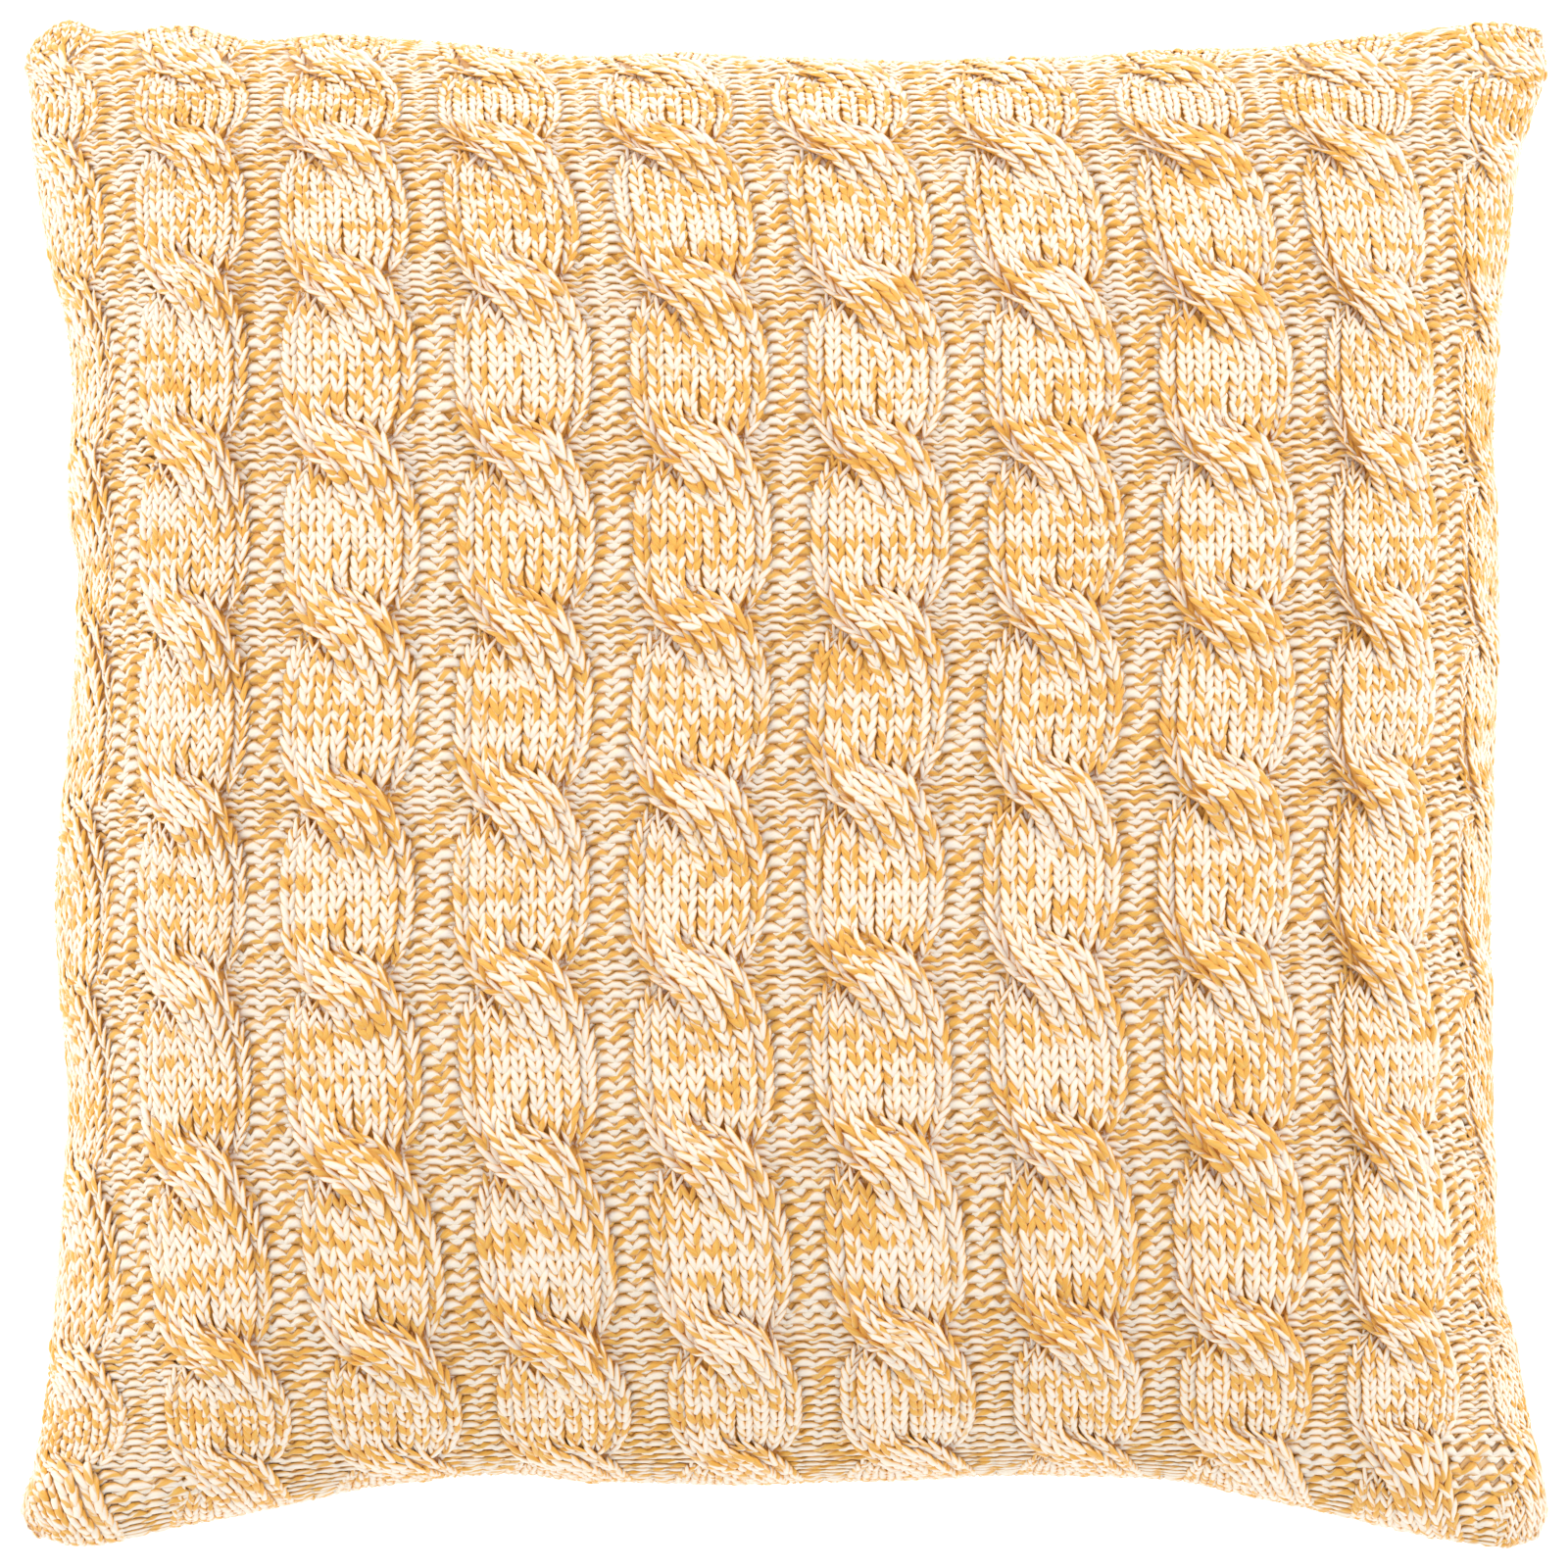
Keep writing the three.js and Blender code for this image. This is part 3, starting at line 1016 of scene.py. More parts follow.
@dataclass(frozen=True)
class YarnShape:
    """One short length of yarn as a unit mesh: a closed tube with a flat underside.

    Attributes:
        name: Name of the mesh.
        stations: Place along the yarn from -0.5 to 0.5, and its width there, ends left out.
        bend: How far the ends dip, as a share of the thickness.
        tilt: How much lower the far end lies than the near one, as a share of the thickness.
        wave: Sideways swing of the yarn, as a share of its width.
        plunge: How far the yarn dips where it swings furthest, as a share of the thickness.
        humps: Number of arches or sags along the yarn.
        bow: Whether the swing makes arches or sags.
        roundness: How round the arches or sags are: rounder below 1.
        profile: Corners of the section, from left over the top to right, as shares.
        around: Share of a turn at each corner.
    """

    name: str
    stations: tuple[tuple[float, float], ...]
    bend: float = 0.0
    tilt: float = 0.0
    wave: float = 0.0
    plunge: float = 0.0
    humps: float = 0.0
    bow: Bow = Bow.ARCH
    roundness: float = 0.8
    profile: tuple[tuple[float, float], ...] = ((-0.5, 0.0), (-0.28, 0.45), (0.28, 0.45), (0.5, 0.0))
    around: tuple[float, ...] = (0.0, 0.17, 0.33, 0.5)

    def centre(self, along: float) -> tuple[float, float]:
        """Sideways place and height of the yarn's middle line.

        Args:
            along: Place along the yarn.

        Returns:
            The place and the height.
        """
        turn = math.pi * self.humps * along
        part = abs(math.sin(turn) if self.bow is Bow.ARCH else math.cos(turn))
        swing = self.bow.value * (1 - 2 * part**self.roundness)
        height = -self.bend * (2 * along) ** 2 - self.tilt * along - self.plunge * (1 + swing) / 2
        return self.wave * swing, height

    def build(self) -> bpy.types.Object:
        """Makes the unit mesh, with turns round the yarn and the way along it in its UV map.

        Returns:
            The object, hidden from the render.
        """
        count = len(self.profile)
        vertices = []
        for along, width in self.stations:
            swing, height = self.centre(along)
            vertices += [(swing + x * width, along, height + z * width) for x, z in self.profile]
        for along in (-0.5, 0.5):
            swing, height = self.centre(along)
            vertices.append((swing, along, height))
        first = len(self.stations) * count
        faces = []
        rounded = []
        coordinates = []
        turns = [*self.around, 1.0]
        for s in range(len(self.stations) - 1):
            here, there = self.stations[s][0] + 0.5, self.stations[s + 1][0] + 0.5
            for c in range(count):
                d = (c + 1) % count
                faces.append((s * count + c, (s + 1) * count + c, (s + 1) * count + d, s * count + d))
                rounded.append(d > 0)
                coordinates += [(turns[c], here), (turns[c], there)]
                coordinates += [(turns[c + 1], there), (turns[c + 1], here)]
        last = (len(self.stations) - 1) * count
        for c in range(count):
            d = (c + 1) % count
            low, high = self.stations[0][0] + 0.5, self.stations[-1][0] + 0.5
            faces.append((c, d, first))
            coordinates += [(turns[c], low), (turns[c + 1], low), (turns[c], 0.0)]
            faces.append((last + d, last + c, first + 1))
            coordinates += [(turns[c + 1], high), (turns[c], high), (turns[c], 1.0)]
            rounded += [d > 0, d > 0]
        obj = new_mesh_object(self.name, np.array(vertices) / MM, faces)
        obj.data.polygons.foreach_set("use_smooth", rounded)
        layer = obj.data.uv_layers.new(name="yarn")
        layer.data.foreach_set("uv", np.array(coordinates, np.float32).ravel())
        obj.hide_render = True
        return obj


def bowed_stations(humps: int, bow: Bow, shares: tuple[float, ...]) -> tuple[tuple[float, float], ...]:
    """Stations of a bowed strand, set out from each of its sharp turns.

    Args:
        humps: Number of arches or sags.
        bow: Whether they are arches, sharp at along 0, or sags, sharp half a hump away.
        shares: Places within a hump, the sharp turn's own place 0 among them.

    Returns:
        Place along the strand and width at each station: slim at the turns, full between them.
    """
    first = 0.0 if bow is Bow.ARCH else 0.5
    slim, fuller = 0.72, 0.46
    last_place = 0.475
    stations = [
        ((number + first + share) / humps, slim + fuller * math.sin(math.pi * share))
        for number in range(-humps, humps)
        for share in shares
    ]
    return tuple(station for station in sorted(stations) if abs(station[0]) < last_place)


# A strand's section with a ridge along its top, and the share of a turn at each corner
RIDGE_PROFILE = ((-0.5, 0.0), (0.0, 0.5), (0.5, 0.0))
RIDGE_AROUND = (0.0, 0.25, 0.5)


class NodeKit:
    """Short ways to add and wire the nodes of a tree."""

    def __init__(self, tree: bpy.types.NodeTree) -> None:
        """Takes the tree that the nodes go in."""
        self.tree = tree

    def put(self, socket: bpy.types.NodeSocket, value: object) -> None:
        """Links a socket to another, or sets its value.

        Args:
            socket: The socket.
            value: The value, or the other socket.
        """
        if isinstance(value, bpy.types.NodeSocket):
            self.tree.links.new(value, socket)
        else:
            socket.default_value = value

    def add(
        self,
        kind: str,
        inputs: dict[str | int, object] | None = None,
        **settings: object,
    ) -> bpy.types.Node:
        """Adds a node.

        Args:
            kind: The node's type.
            inputs: Value of each input, or the socket that is linked to it, by name or number.
            settings: The node's own settings, made before its inputs.

        Returns:
            The node.
        """
        node = self.tree.nodes.new(kind)
        for key, value in settings.items():
            setattr(node, key, value)
        for key, value in (inputs or {}).items():
            self.put(node.inputs[key], value)
        return node

    def math(self, operation: str, *values: object) -> bpy.types.NodeSocket:
        """A Math node's result."""
        return self.add("ShaderNodeMath", dict(enumerate(values)), operation=operation).outputs[0]

    def product(self, first: object, second: object) -> bpy.types.NodeSocket:
        """Two vectors multiplied part by part."""
        return self.add("ShaderNodeVectorMath", {0: first, 1: second}, operation="MULTIPLY").outputs[0]

    def vector(self, x: object, y: object, z: object) -> bpy.types.NodeSocket:
        """A vector of three values."""
        return self.add("ShaderNodeCombineXYZ", {0: x, 1: y, 2: z}).outputs[0]

    def step(self, value: object, start: float, end: float) -> bpy.types.NodeSocket:
        """Rises smoothly from 0 at start to 1 at end."""
        inputs = {"Value": value, "From Min": start, "From Max": end}
        return self.add("ShaderNodeMapRange", inputs, interpolation_type="SMOOTHSTEP").outputs["Result"]

    def mix(self, share: object, first: object, second: object) -> bpy.types.NodeSocket:
        """A mix of two colours."""
        return self.add("ShaderNodeMix", {0: share, 6: first, 7: second}, data_type="RGBA").outputs[2]

    def noise(self, place: object, scale: float, detail: float = 2.0) -> bpy.types.NodeSocket:
        """A noise texture's value."""
        inputs = {"Vector": place, "Scale": scale, "Detail": detail}
        return self.add("ShaderNodeTexNoise", inputs).outputs["Fac"]

    def object_place(self) -> bpy.types.NodeSocket:
        """Place on the object, in metres."""
        return self.add("ShaderNodeTexCoord").outputs["Object"]

    def attribute(self, name: str) -> bpy.types.NodeSocket:
        """A number that the mesh carries."""
        return self.add("ShaderNodeAttribute", attribute_name=name).outputs["Fac"]

    def finish(
        self,
        height: bpy.types.NodeSocket,
        depth: float,
        shader_inputs: dict[str, object],
        strength: float = 1.0,
    ) -> None:
        """Ends a material's tree in a Principled BSDF with a bumpy surface.

        Args:
            height: Height of the surface.
            depth: Millimetres that a height of 1 stands for.
            shader_inputs: Value of each of the shader's inputs, or the socket linked to it.
            strength: Strength of the bump.
        """
        bump_inputs = {"Strength": strength, "Distance": depth * MM, "Height": height}
        bump = self.add("ShaderNodeBump", bump_inputs)
        shader = self.add("ShaderNodeBsdfPrincipled", {**shader_inputs, "Normal": bump.outputs[0]})
        self.add("ShaderNodeOutputMaterial", {"Surface": shader.outputs[0]})


def new_material(name: str) -> tuple[bpy.types.Material, NodeKit]:
    """Starts a material with an empty tree of nodes.

    Args:
        name: Name of the material.

    Returns:
        The material, and a kit for its tree.
    """
    material = bpy.data.materials.new(name)
    material.use_nodes = True
    material.node_tree.nodes.clear()
    return material, NodeKit(material.node_tree)


@dataclass
class StitchTree:
    """The Geometry Nodes tree that sets one yarn shape on every seat."""

    name: str = "set_stitches"
    unevenness: float = 0.07
    seed: int = 11
    tree: bpy.types.NodeTree = field(init=False)

    def __post_init__(self) -> None:
        """Builds the tree."""
        self.tree = bpy.data.node_groups.new(self.name, "GeometryNodeTree")
        kinds = {
            "Geometry": "Geometry",
            "Yarn shape": "Object",
            "Width": "Float",
            "Length": "Float",
            "Thickness": "Float",
            "Unevenness": "Float",
            "Seed": "Int",
            "Material": "Material",
        }
        new_socket = self.tree.interface.new_socket
        for key, kind in kinds.items():
            new_socket(key, in_out="INPUT", socket_type="NodeSocket" + kind)
        new_socket("Geometry", in_out="OUTPUT", socket_type="NodeSocketGeometry")
        self.wire()

    def wire(self) -> None:
        """Wires the nodes."""
        kit = NodeKit(self.tree)
        entry = kit.add("NodeGroupInput").outputs
        normal, run, scale = (
            kit.add("GeometryNodeInputNamedAttribute", {"Name": key}, data_type="FLOAT_VECTOR")
            for key in SEAT_VECTORS
        )
        turn = kit.add(
            "FunctionNodeAxesToRotation",
            {0: normal.outputs["Attribute"], 1: run.outputs["Attribute"]},
            primary_axis="Z",
            secondary_axis="Y",
        )
        size = kit.vector(entry["Width"], entry["Length"], entry["Thickness"])
        uneven_inputs = {
            "Min": kit.math("SUBTRACT", 1.0, entry["Unevenness"]),
            "Max": kit.math("ADD", 1.0, entry["Unevenness"]),
            "Seed": entry["Seed"],
        }
        uneven = kit.add("FunctionNodeRandomValue", uneven_inputs, data_type="FLOAT_VECTOR")
        fitted = kit.product(scale.outputs["Attribute"], size)
        shape = kit.add("GeometryNodeObjectInfo", {"Object": entry["Yarn shape"]}, transform_space="ORIGINAL")
        place = kit.add("GeometryNodeInstanceOnPoints", {
            "Points": entry["Geometry"],
            "Instance": shape.outputs["Geometry"],
            "Rotation": turn.outputs["Rotation"],
            "Scale": kit.product(fitted, uneven.outputs["Value"]),
        })
        real = kit.add("GeometryNodeRealizeInstances", {"Geometry": place.outputs["Instances"]})
        dressed_inputs = {"Geometry": real.outputs["Geometry"], "Material": entry["Material"]}
        dressed = kit.add("GeometryNodeSetMaterial", dressed_inputs)
        kit.add("NodeGroupOutput", {"Geometry": dressed.outputs["Geometry"]})

    def identifier(self, name: str) -> str:
        """Identifier of an input socket.

        Args:
            name: Name of the input.

        Returns:
            The identifier.
        """
        for item in self.tree.interface.items_tree:
            if item.item_type == "SOCKET" and item.in_out == "INPUT" and item.name == name:
                return item.identifier
        raise KeyError(name)

    def set_stitches(
        self,
        name: str,
        seats: Seats,
        shape: bpy.types.Object,
        size: tuple[float, float, float],
        material: bpy.types.Material,
    ) -> bpy.types.Object:
        """Sets the yarn shape on every seat and joins the result into one plain mesh.

        Args:
            name: Name of the finished piece.
            seats: Where the stitches lie.
            shape: The unit yarn shape.
            size: Width, length and thickness of the yarn in millimetres.
            material: Finish of the piece.

        Returns:
            The piece.
        """
        holder = seats.to_object(name + "_seats")
        modifier = holder.modifiers.new("Stitches", "NODES")
        modifier.node_group = self.tree
        modifier[self.identifier("Yarn shape")] = shape
        for key, value in zip(("Width", "Length", "Thickness"), size):
            modifier[self.identifier(key)] = float(value * MM)
        modifier[self.identifier("Unevenness")] = self.unevenness
        modifier[self.identifier("Seed")] = self.seed
        modifier[self.identifier("Material")] = material
        depsgraph = bpy.context.evaluated_depsgraph_get()
        evaluated = holder.evaluated_get(depsgraph)
        mesh = bpy.data.meshes.new_from_object(evaluated, preserve_all_data_layers=True, depsgraph=depsgraph)
        mesh.name = name
        holder.modifiers.clear()
        bpy.data.objects.remove(holder)
        for key in SEAT_VECTORS:
            if key in mesh.attributes:
                mesh.attributes.remove(mesh.attributes[key])
        return place_object(name, mesh)


@dataclass
class YarnTwist:
    """Where the mustard ply of the marled yarn turns up along the rows, in turns of its twist.

    Attributes:
        row_wander: How unevenly the rows follow each other.
        wale_wander: How far the twist wanders along a row.
        wander_rate, wander_spread: Least pace of that, in radians a wale, and how much faster it
            gets in some rows.
        wander_start: Radians over which the rows' starts are spread.
        least_rate, rate_spread: Least share of per_wale that a row has, and how much more others
            have.
        leg_shift: Turns that the left leg lies before its stitch.
        leg_step: Turns from a stitch's left leg to its right one.
    """

    per_row: float = 0.11
    per_wale: float = -0.06
    row_wander: float = 0.17
    wale_wander: float = 0.2
    wander_rate: float = 0.11
    wander_spread: float = 0.12
    wander_start: float = 6.28
    least_rate: float = 0.4
    rate_spread: float = 1.2
    leg_shift: float = 0.43
    leg_step: float = 0.14
    seed: int = 5
    rows: int = 400
    row_phase: Array = field(init=False)
    wander: Array = field(init=False)

    def __post_init__(self) -> None:
        """Draws each row's start and how the twist wanders along it."""
        rng = np.random.default_rng(self.seed)
        steps = self.per_row + self.row_wander * rng.standard_normal(self.rows)
        self.row_phase = np.cumsum(steps)
        self.wander = rng.random((self.rows, 3))

    def phase(self, row: Array, wale: Array) -> Array:
        """Turns of twist at a stitch.

        Args:
            row: Number of the row.
            wale: Number of the wale.

        Returns:
            The turns.
        """
        r = np.asarray(row, int) % self.rows
        w = self.wander[r]
        pace = self.wander_rate + self.wander_spread * w[..., 0]
        slow = np.sin(wale * pace + self.wander_start * w[..., 1])
        rate = self.per_wale * (self.least_rate + self.rate_spread * w[..., 2])
        return self.row_phase[r] + rate * wale + self.wale_wander * slow

    def leg_phase(self, turn: Array, side: Side) -> Array:
        """Turns at the middle of a leg: a stitch's right leg comes a little after its left one."""
        return turn - self.leg_shift + self.leg_step * (side.value + 1) / 2


class Strand:
    """Four wales of a cable on their way past a crossing."""

    first_wale = 0
    in_front = False

    def place(self, course: Array, wale: Array) -> tuple[Array, Array]:
        """Place of a wale at a course.

        Args:
            course: Repeats past the crossing, counted along the strand.
            wale: Number of the wale from the strand's left, whole for a wale's middle.

        Returns:
            Pitches from the cable's middle, and repeats past the crossing.
        """
        raise NotImplementedError

    def shows(self, course: Array) -> Array:
        """True for the courses that this strand has."""
        return np.ones_like(course, bool)


@dataclass(frozen=True)
class FrontStrand(Strand):
    """The strand that runs over the other from the upper left to the lower right.

    Attributes:
        turned: How far its courses turn square to its middle line.
        slit: Millimetres that each of its halves moves aside from its middle line.
        slit_at: Course at which they part furthest.
        slit_reach: Courses over which they part.
        course_step: Courses over which its slant is measured, either way.
    """

    cable_pitch: float = 69
    crossing_pitch: float = 66
    turned: float = 0.5
    slit: float = 0.25
    slit_at: float = 0.1
    slit_reach: float = 0.14
    course_step: float = 0.02
    in_front: bool = True

    def place(self, course: Array, wale: Array) -> tuple[Array, Array]:
        """Its courses turn part of the way square to its slanting middle line.

        Args:
            course: Repeats past the crossing, counted along the strand.
            wale: Number of the wale from the strand's left.

        Returns:
            Pitches from the cable's middle, and repeats past the crossing.
        """
        read = FRONT_STRAND.read
        before, after = course - self.course_step, course + self.course_step
        offset, past = read("offset", course), read("past", course)
        rightwards = (read("offset", after) - read("offset", before)) * self.cable_pitch
        downwards = (read("past", after) - read("past", before)) * self.crossing_pitch
        slant = np.arctan2(rightwards, downwards)
        from_middle = wale - (STRAND_WALES - 1) / 2
        aside = from_middle / (STRAND_WALES / 2) * read("half_width", course)
        parted = self.slit * np.exp(-(((course - self.slit_at) / self.slit_reach) ** 2))
        aside = aside + parted * np.clip(from_middle, -0.5, 0.5) * 2
        tilt = self.turned * slant
        aside = aside / np.cos(slant - tilt)
        offset = offset + aside * np.cos(tilt) / self.cable_pitch
        return offset, past - aside * np.sin(tilt) / self.crossing_pitch


@dataclass(frozen=True)
class BackStrand(Strand):
    """The strand that goes under, before or after the crossing."""

    edges: Table
    first_course: float
    last_course: float
    first_wale: int = 0

    def place(self, course: Array, wale: Array) -> tuple[Array, Array]:
        """Its wales spread evenly between its edges."""
        left, right = self.edges.read("left", course), self.edges.read("right", course)
        return left + (wale + 0.5) / STRAND_WALES * (right - left), course

    def shows(self, course: Array) -> Array:
        """Only the courses on its own side of the crossing."""
        return (course >= self.first_course) & (course < self.last_course)


def leaning(run: Array, beside: Array, lean: Array, side: Side) -> Array:
    """The way a leg points: along its wale, leaning by an angle to its own side."""
    return run * np.cos(lean)[..., None] + side.value * beside * np.sin(lean)[..., None]


@dataclass
class CableLegs:
    """The V-shaped stitches of the cables: two legs of yarn a stitch, eight wales to a cable.

    Attributes:
        width_limits, length_limits, thickness_limits: Least and greatest size of a leg, as shares
            of the usual one.
        right_from: Course of the front strand from which it lies in the cable's right half.
        height_spread: How unevenly high the legs lie, in millimetres.
    """

    body: FilledBody
    face: Surface
    twist: YarnTwist
    leg: YarnShape = YarnShape(
        "yarn_leg",
        stations=((-0.33, 0.82), (-0.02, 1.0), (0.29, 0.88)),
        bend=0.5,
        tilt=0.4,
    )
    cables: int = 10
    leg_width: float = 3.15
    leg_length: float = 10.2
    leg_thickness: float = 2.35
    width_limits: tuple[float, float] = (0.55, 1.5)
    length_limits: tuple[float, float] = (0.6, 1.5)
    thickness_limits: tuple[float, float] = (0.75, 1.15)
    wale_pitch: float = 6.3
    row_pitch: float = 4.6
    course_step: float = 0.03
    right_from: float = 0.05
    lean: float = math.radians(21)
    front_lean: float = math.radians(13)
    lean_spread: float = 0.07
    height_spread: float = 0.25
    phase_spread: float = 0.15
    front_fullness: float = 0.05
    sunk: float = 1.2
    under_front: float = 0.06
    seam_overrun: float = 0.05
    seed: int = 21

    def rows(self) -> Array:
        """Places down the cushion of all rows of stitches."""
        last = int(STITCH_ROWS.rows[-1][0])
        return STITCH_ROWS.read("down", np.arange(last) + 0.5)

    def place(self, across: Array, down: Array, in_front: Array) -> tuple[Array, Array]:
        """Point and normal on the knit's surface.

        Args:
            across: Places in cable pitches.
            down: Places in crossing repeats.
            in_front: True where the place belongs to a front strand.

        Returns:
            The points and the normals.
        """
        plan = self.body.plan
        across = np.clip(across, -plan.seam_across, plan.seam_across)
        down = np.clip(down, plan.seam_down_top, plan.seam_down_bottom)
        points, normals = self.face.sample(across, down)
        height = self.body.relief.height(across, down, in_front) * self.body.fade(points)
        lifted = points + self.body.relief.way(normals) * height[..., None]
        return lifted - normals * self.sunk, normals

    def shown(self, strand: Strand, across: Array, down: Array, offset: Array, past: Array) -> Array:
        """True for the stitches of a strand that lie on the face and not under the front strand.

        Args:
            strand: The strand.
            across: Places across of its stitches.
            down: Places down of its stitches.
            offset: The same in pitches from the cable's middle.
            past: The same in repeats past the crossing.

        Returns:
            One truth value for each stitch.
        """
        plan = self.body.plan
        keep = np.abs(across) < plan.seam_across + self.seam_overrun
        keep &= (down > plan.seam_down_top) & (down < plan.seam_down_bottom)
        if not strand.in_front:
            past_right = offset > STRAND_EDGES.read("right", past) - self.under_front
            past_left = offset < STRAND_EDGES.read("left", past) + self.under_front
            keep &= past_right | past_left
        return keep

    def strand_seats(self, seats: Seats, strand: Strand, cable: float) -> None:
        """Adds the seats of one strand's stitches.

        Args:
            seats: Where the seats are added.
            strand: The strand.
            cable: Place across of the cable's middle.
        """
        plan = self.body.plan
        downs = self.rows()
        crossings = np.clip(np.round(downs), plan.first_crossing, plan.last_crossing)
        rows = np.flatnonzero(strand.shows(downs - crossings))
        row, wale = np.meshgrid(rows, np.arange(STRAND_WALES), indexing="ij")
        crossing = crossings[row]
        course = downs[row] - crossing
        front = np.full(course.shape, strand.in_front)

        def spot(at: Array, on: Array) -> Array:
            """Point on the knit's surface at a course and a wale."""
            offset, past = strand.place(at, on)
            return self.place(cable + offset, crossing + past, front)[0]

        offset, past = strand.place(course, wale)
        across, down = cable + offset, crossing + past
        keep = self.shown(strand, across, down, offset, past)
        point, normal = self.place(across, down, front)
        travel = spot(course - self.course_step, wale) - spot(course + self.course_step, wale)
        run = unit(travel)
        row_length = np.linalg.norm(travel, axis=-1) / (2 * self.course_step) * np.gradient(downs)[row]
        beside = np.cross(run, normal)
        breadth = spot(course, wale + 0.5) - spot(course, wale - 0.5)
        width = np.abs((breadth * beside).sum(-1))
        near = self.body.relief.near(course) if strand.in_front else 0
        scale = np.stack([
            np.clip(width / self.wale_pitch, *self.width_limits) * (1 + self.front_fullness * near),
            np.clip(row_length / self.row_pitch, *self.length_limits),
            np.clip(width / self.wale_pitch, *self.thickness_limits),
        ], -1)
        first = strand.first_wale
        if strand.in_front:
            first = np.where(course < self.right_from, 0, STRAND_WALES)
        turn = self.twist.phase(row, np.floor(cable) * PITCH_WALES + first + wale)
        usual = self.lean + (self.front_lean - self.lean) * near
        seed = [self.seed, round(cable + SEED_SHIFT), strand.first_wale, int(strand.in_front)]
        rng = np.random.default_rng(seed)
        for side in Side:
            lean = usual + self.lean_spread * rng.standard_normal(across.shape)
            direction = leaning(run, beside, lean, side)
            seat = point + side.value * beside * (width / 4)[..., None]
            seat = seat + normal * (self.height_spread * rng.standard_normal(across.shape))[..., None]
            uneven = self.phase_spread * rng.standard_normal(across.shape)
            phase = self.twist.leg_phase(turn, side) + uneven
            seats.add(seat[keep], normal[keep], direction[keep], scale[keep], phase[keep])

    def seats(self, cable: float) -> Seats:
        """All seats of one cable.

        Args:
            cable: Place across of the cable's middle.

        Returns:
            The seats.
        """
        seats = Seats()
        strands = (
            FrontStrand(),
            BackStrand(SINKING_STRAND, first_course=-0.6, last_course=0.08, first_wale=STRAND_WALES),
            BackStrand(RISING_STRAND, first_course=-0.05, last_course=0.6),
        )
        for strand in strands:
            self.strand_seats(seats, strand, cable)
        return seats

    def build(self, tree: StitchTree, yarn: bpy.types.Material) -> None:
        """Makes one piece for each cable, from left to right.

        Args:
            tree: Sets the legs on their seats.
            yarn: Finish of the legs.
        """
        leg = self.leg.build()
        size = (self.leg_width, self.leg_length, self.leg_thickness)
        for number in range(1, self.cables + 1):
            middle = number - (self.cables + 1) / 2
            settle(tree.set_stitches(f"cable_{number}", self.seats(middle), leg, size, yarn))
        bpy.data.objects.remove(leg)


@dataclass(frozen=True)
class PurlLayer:
    """One of the two layers of strands in the gutters.

    Attributes:
        lower: True where its strands lie deeper and a little lower down the cushion.
        bow, wave, plunge: As in the shape of its strands.
        shares: Places within a hump of the usual rows where the yarn has a section.
    """

    name: str
    lower: bool
    bow: Bow
    wave: float
    plunge: float
    shares: tuple[float, ...]


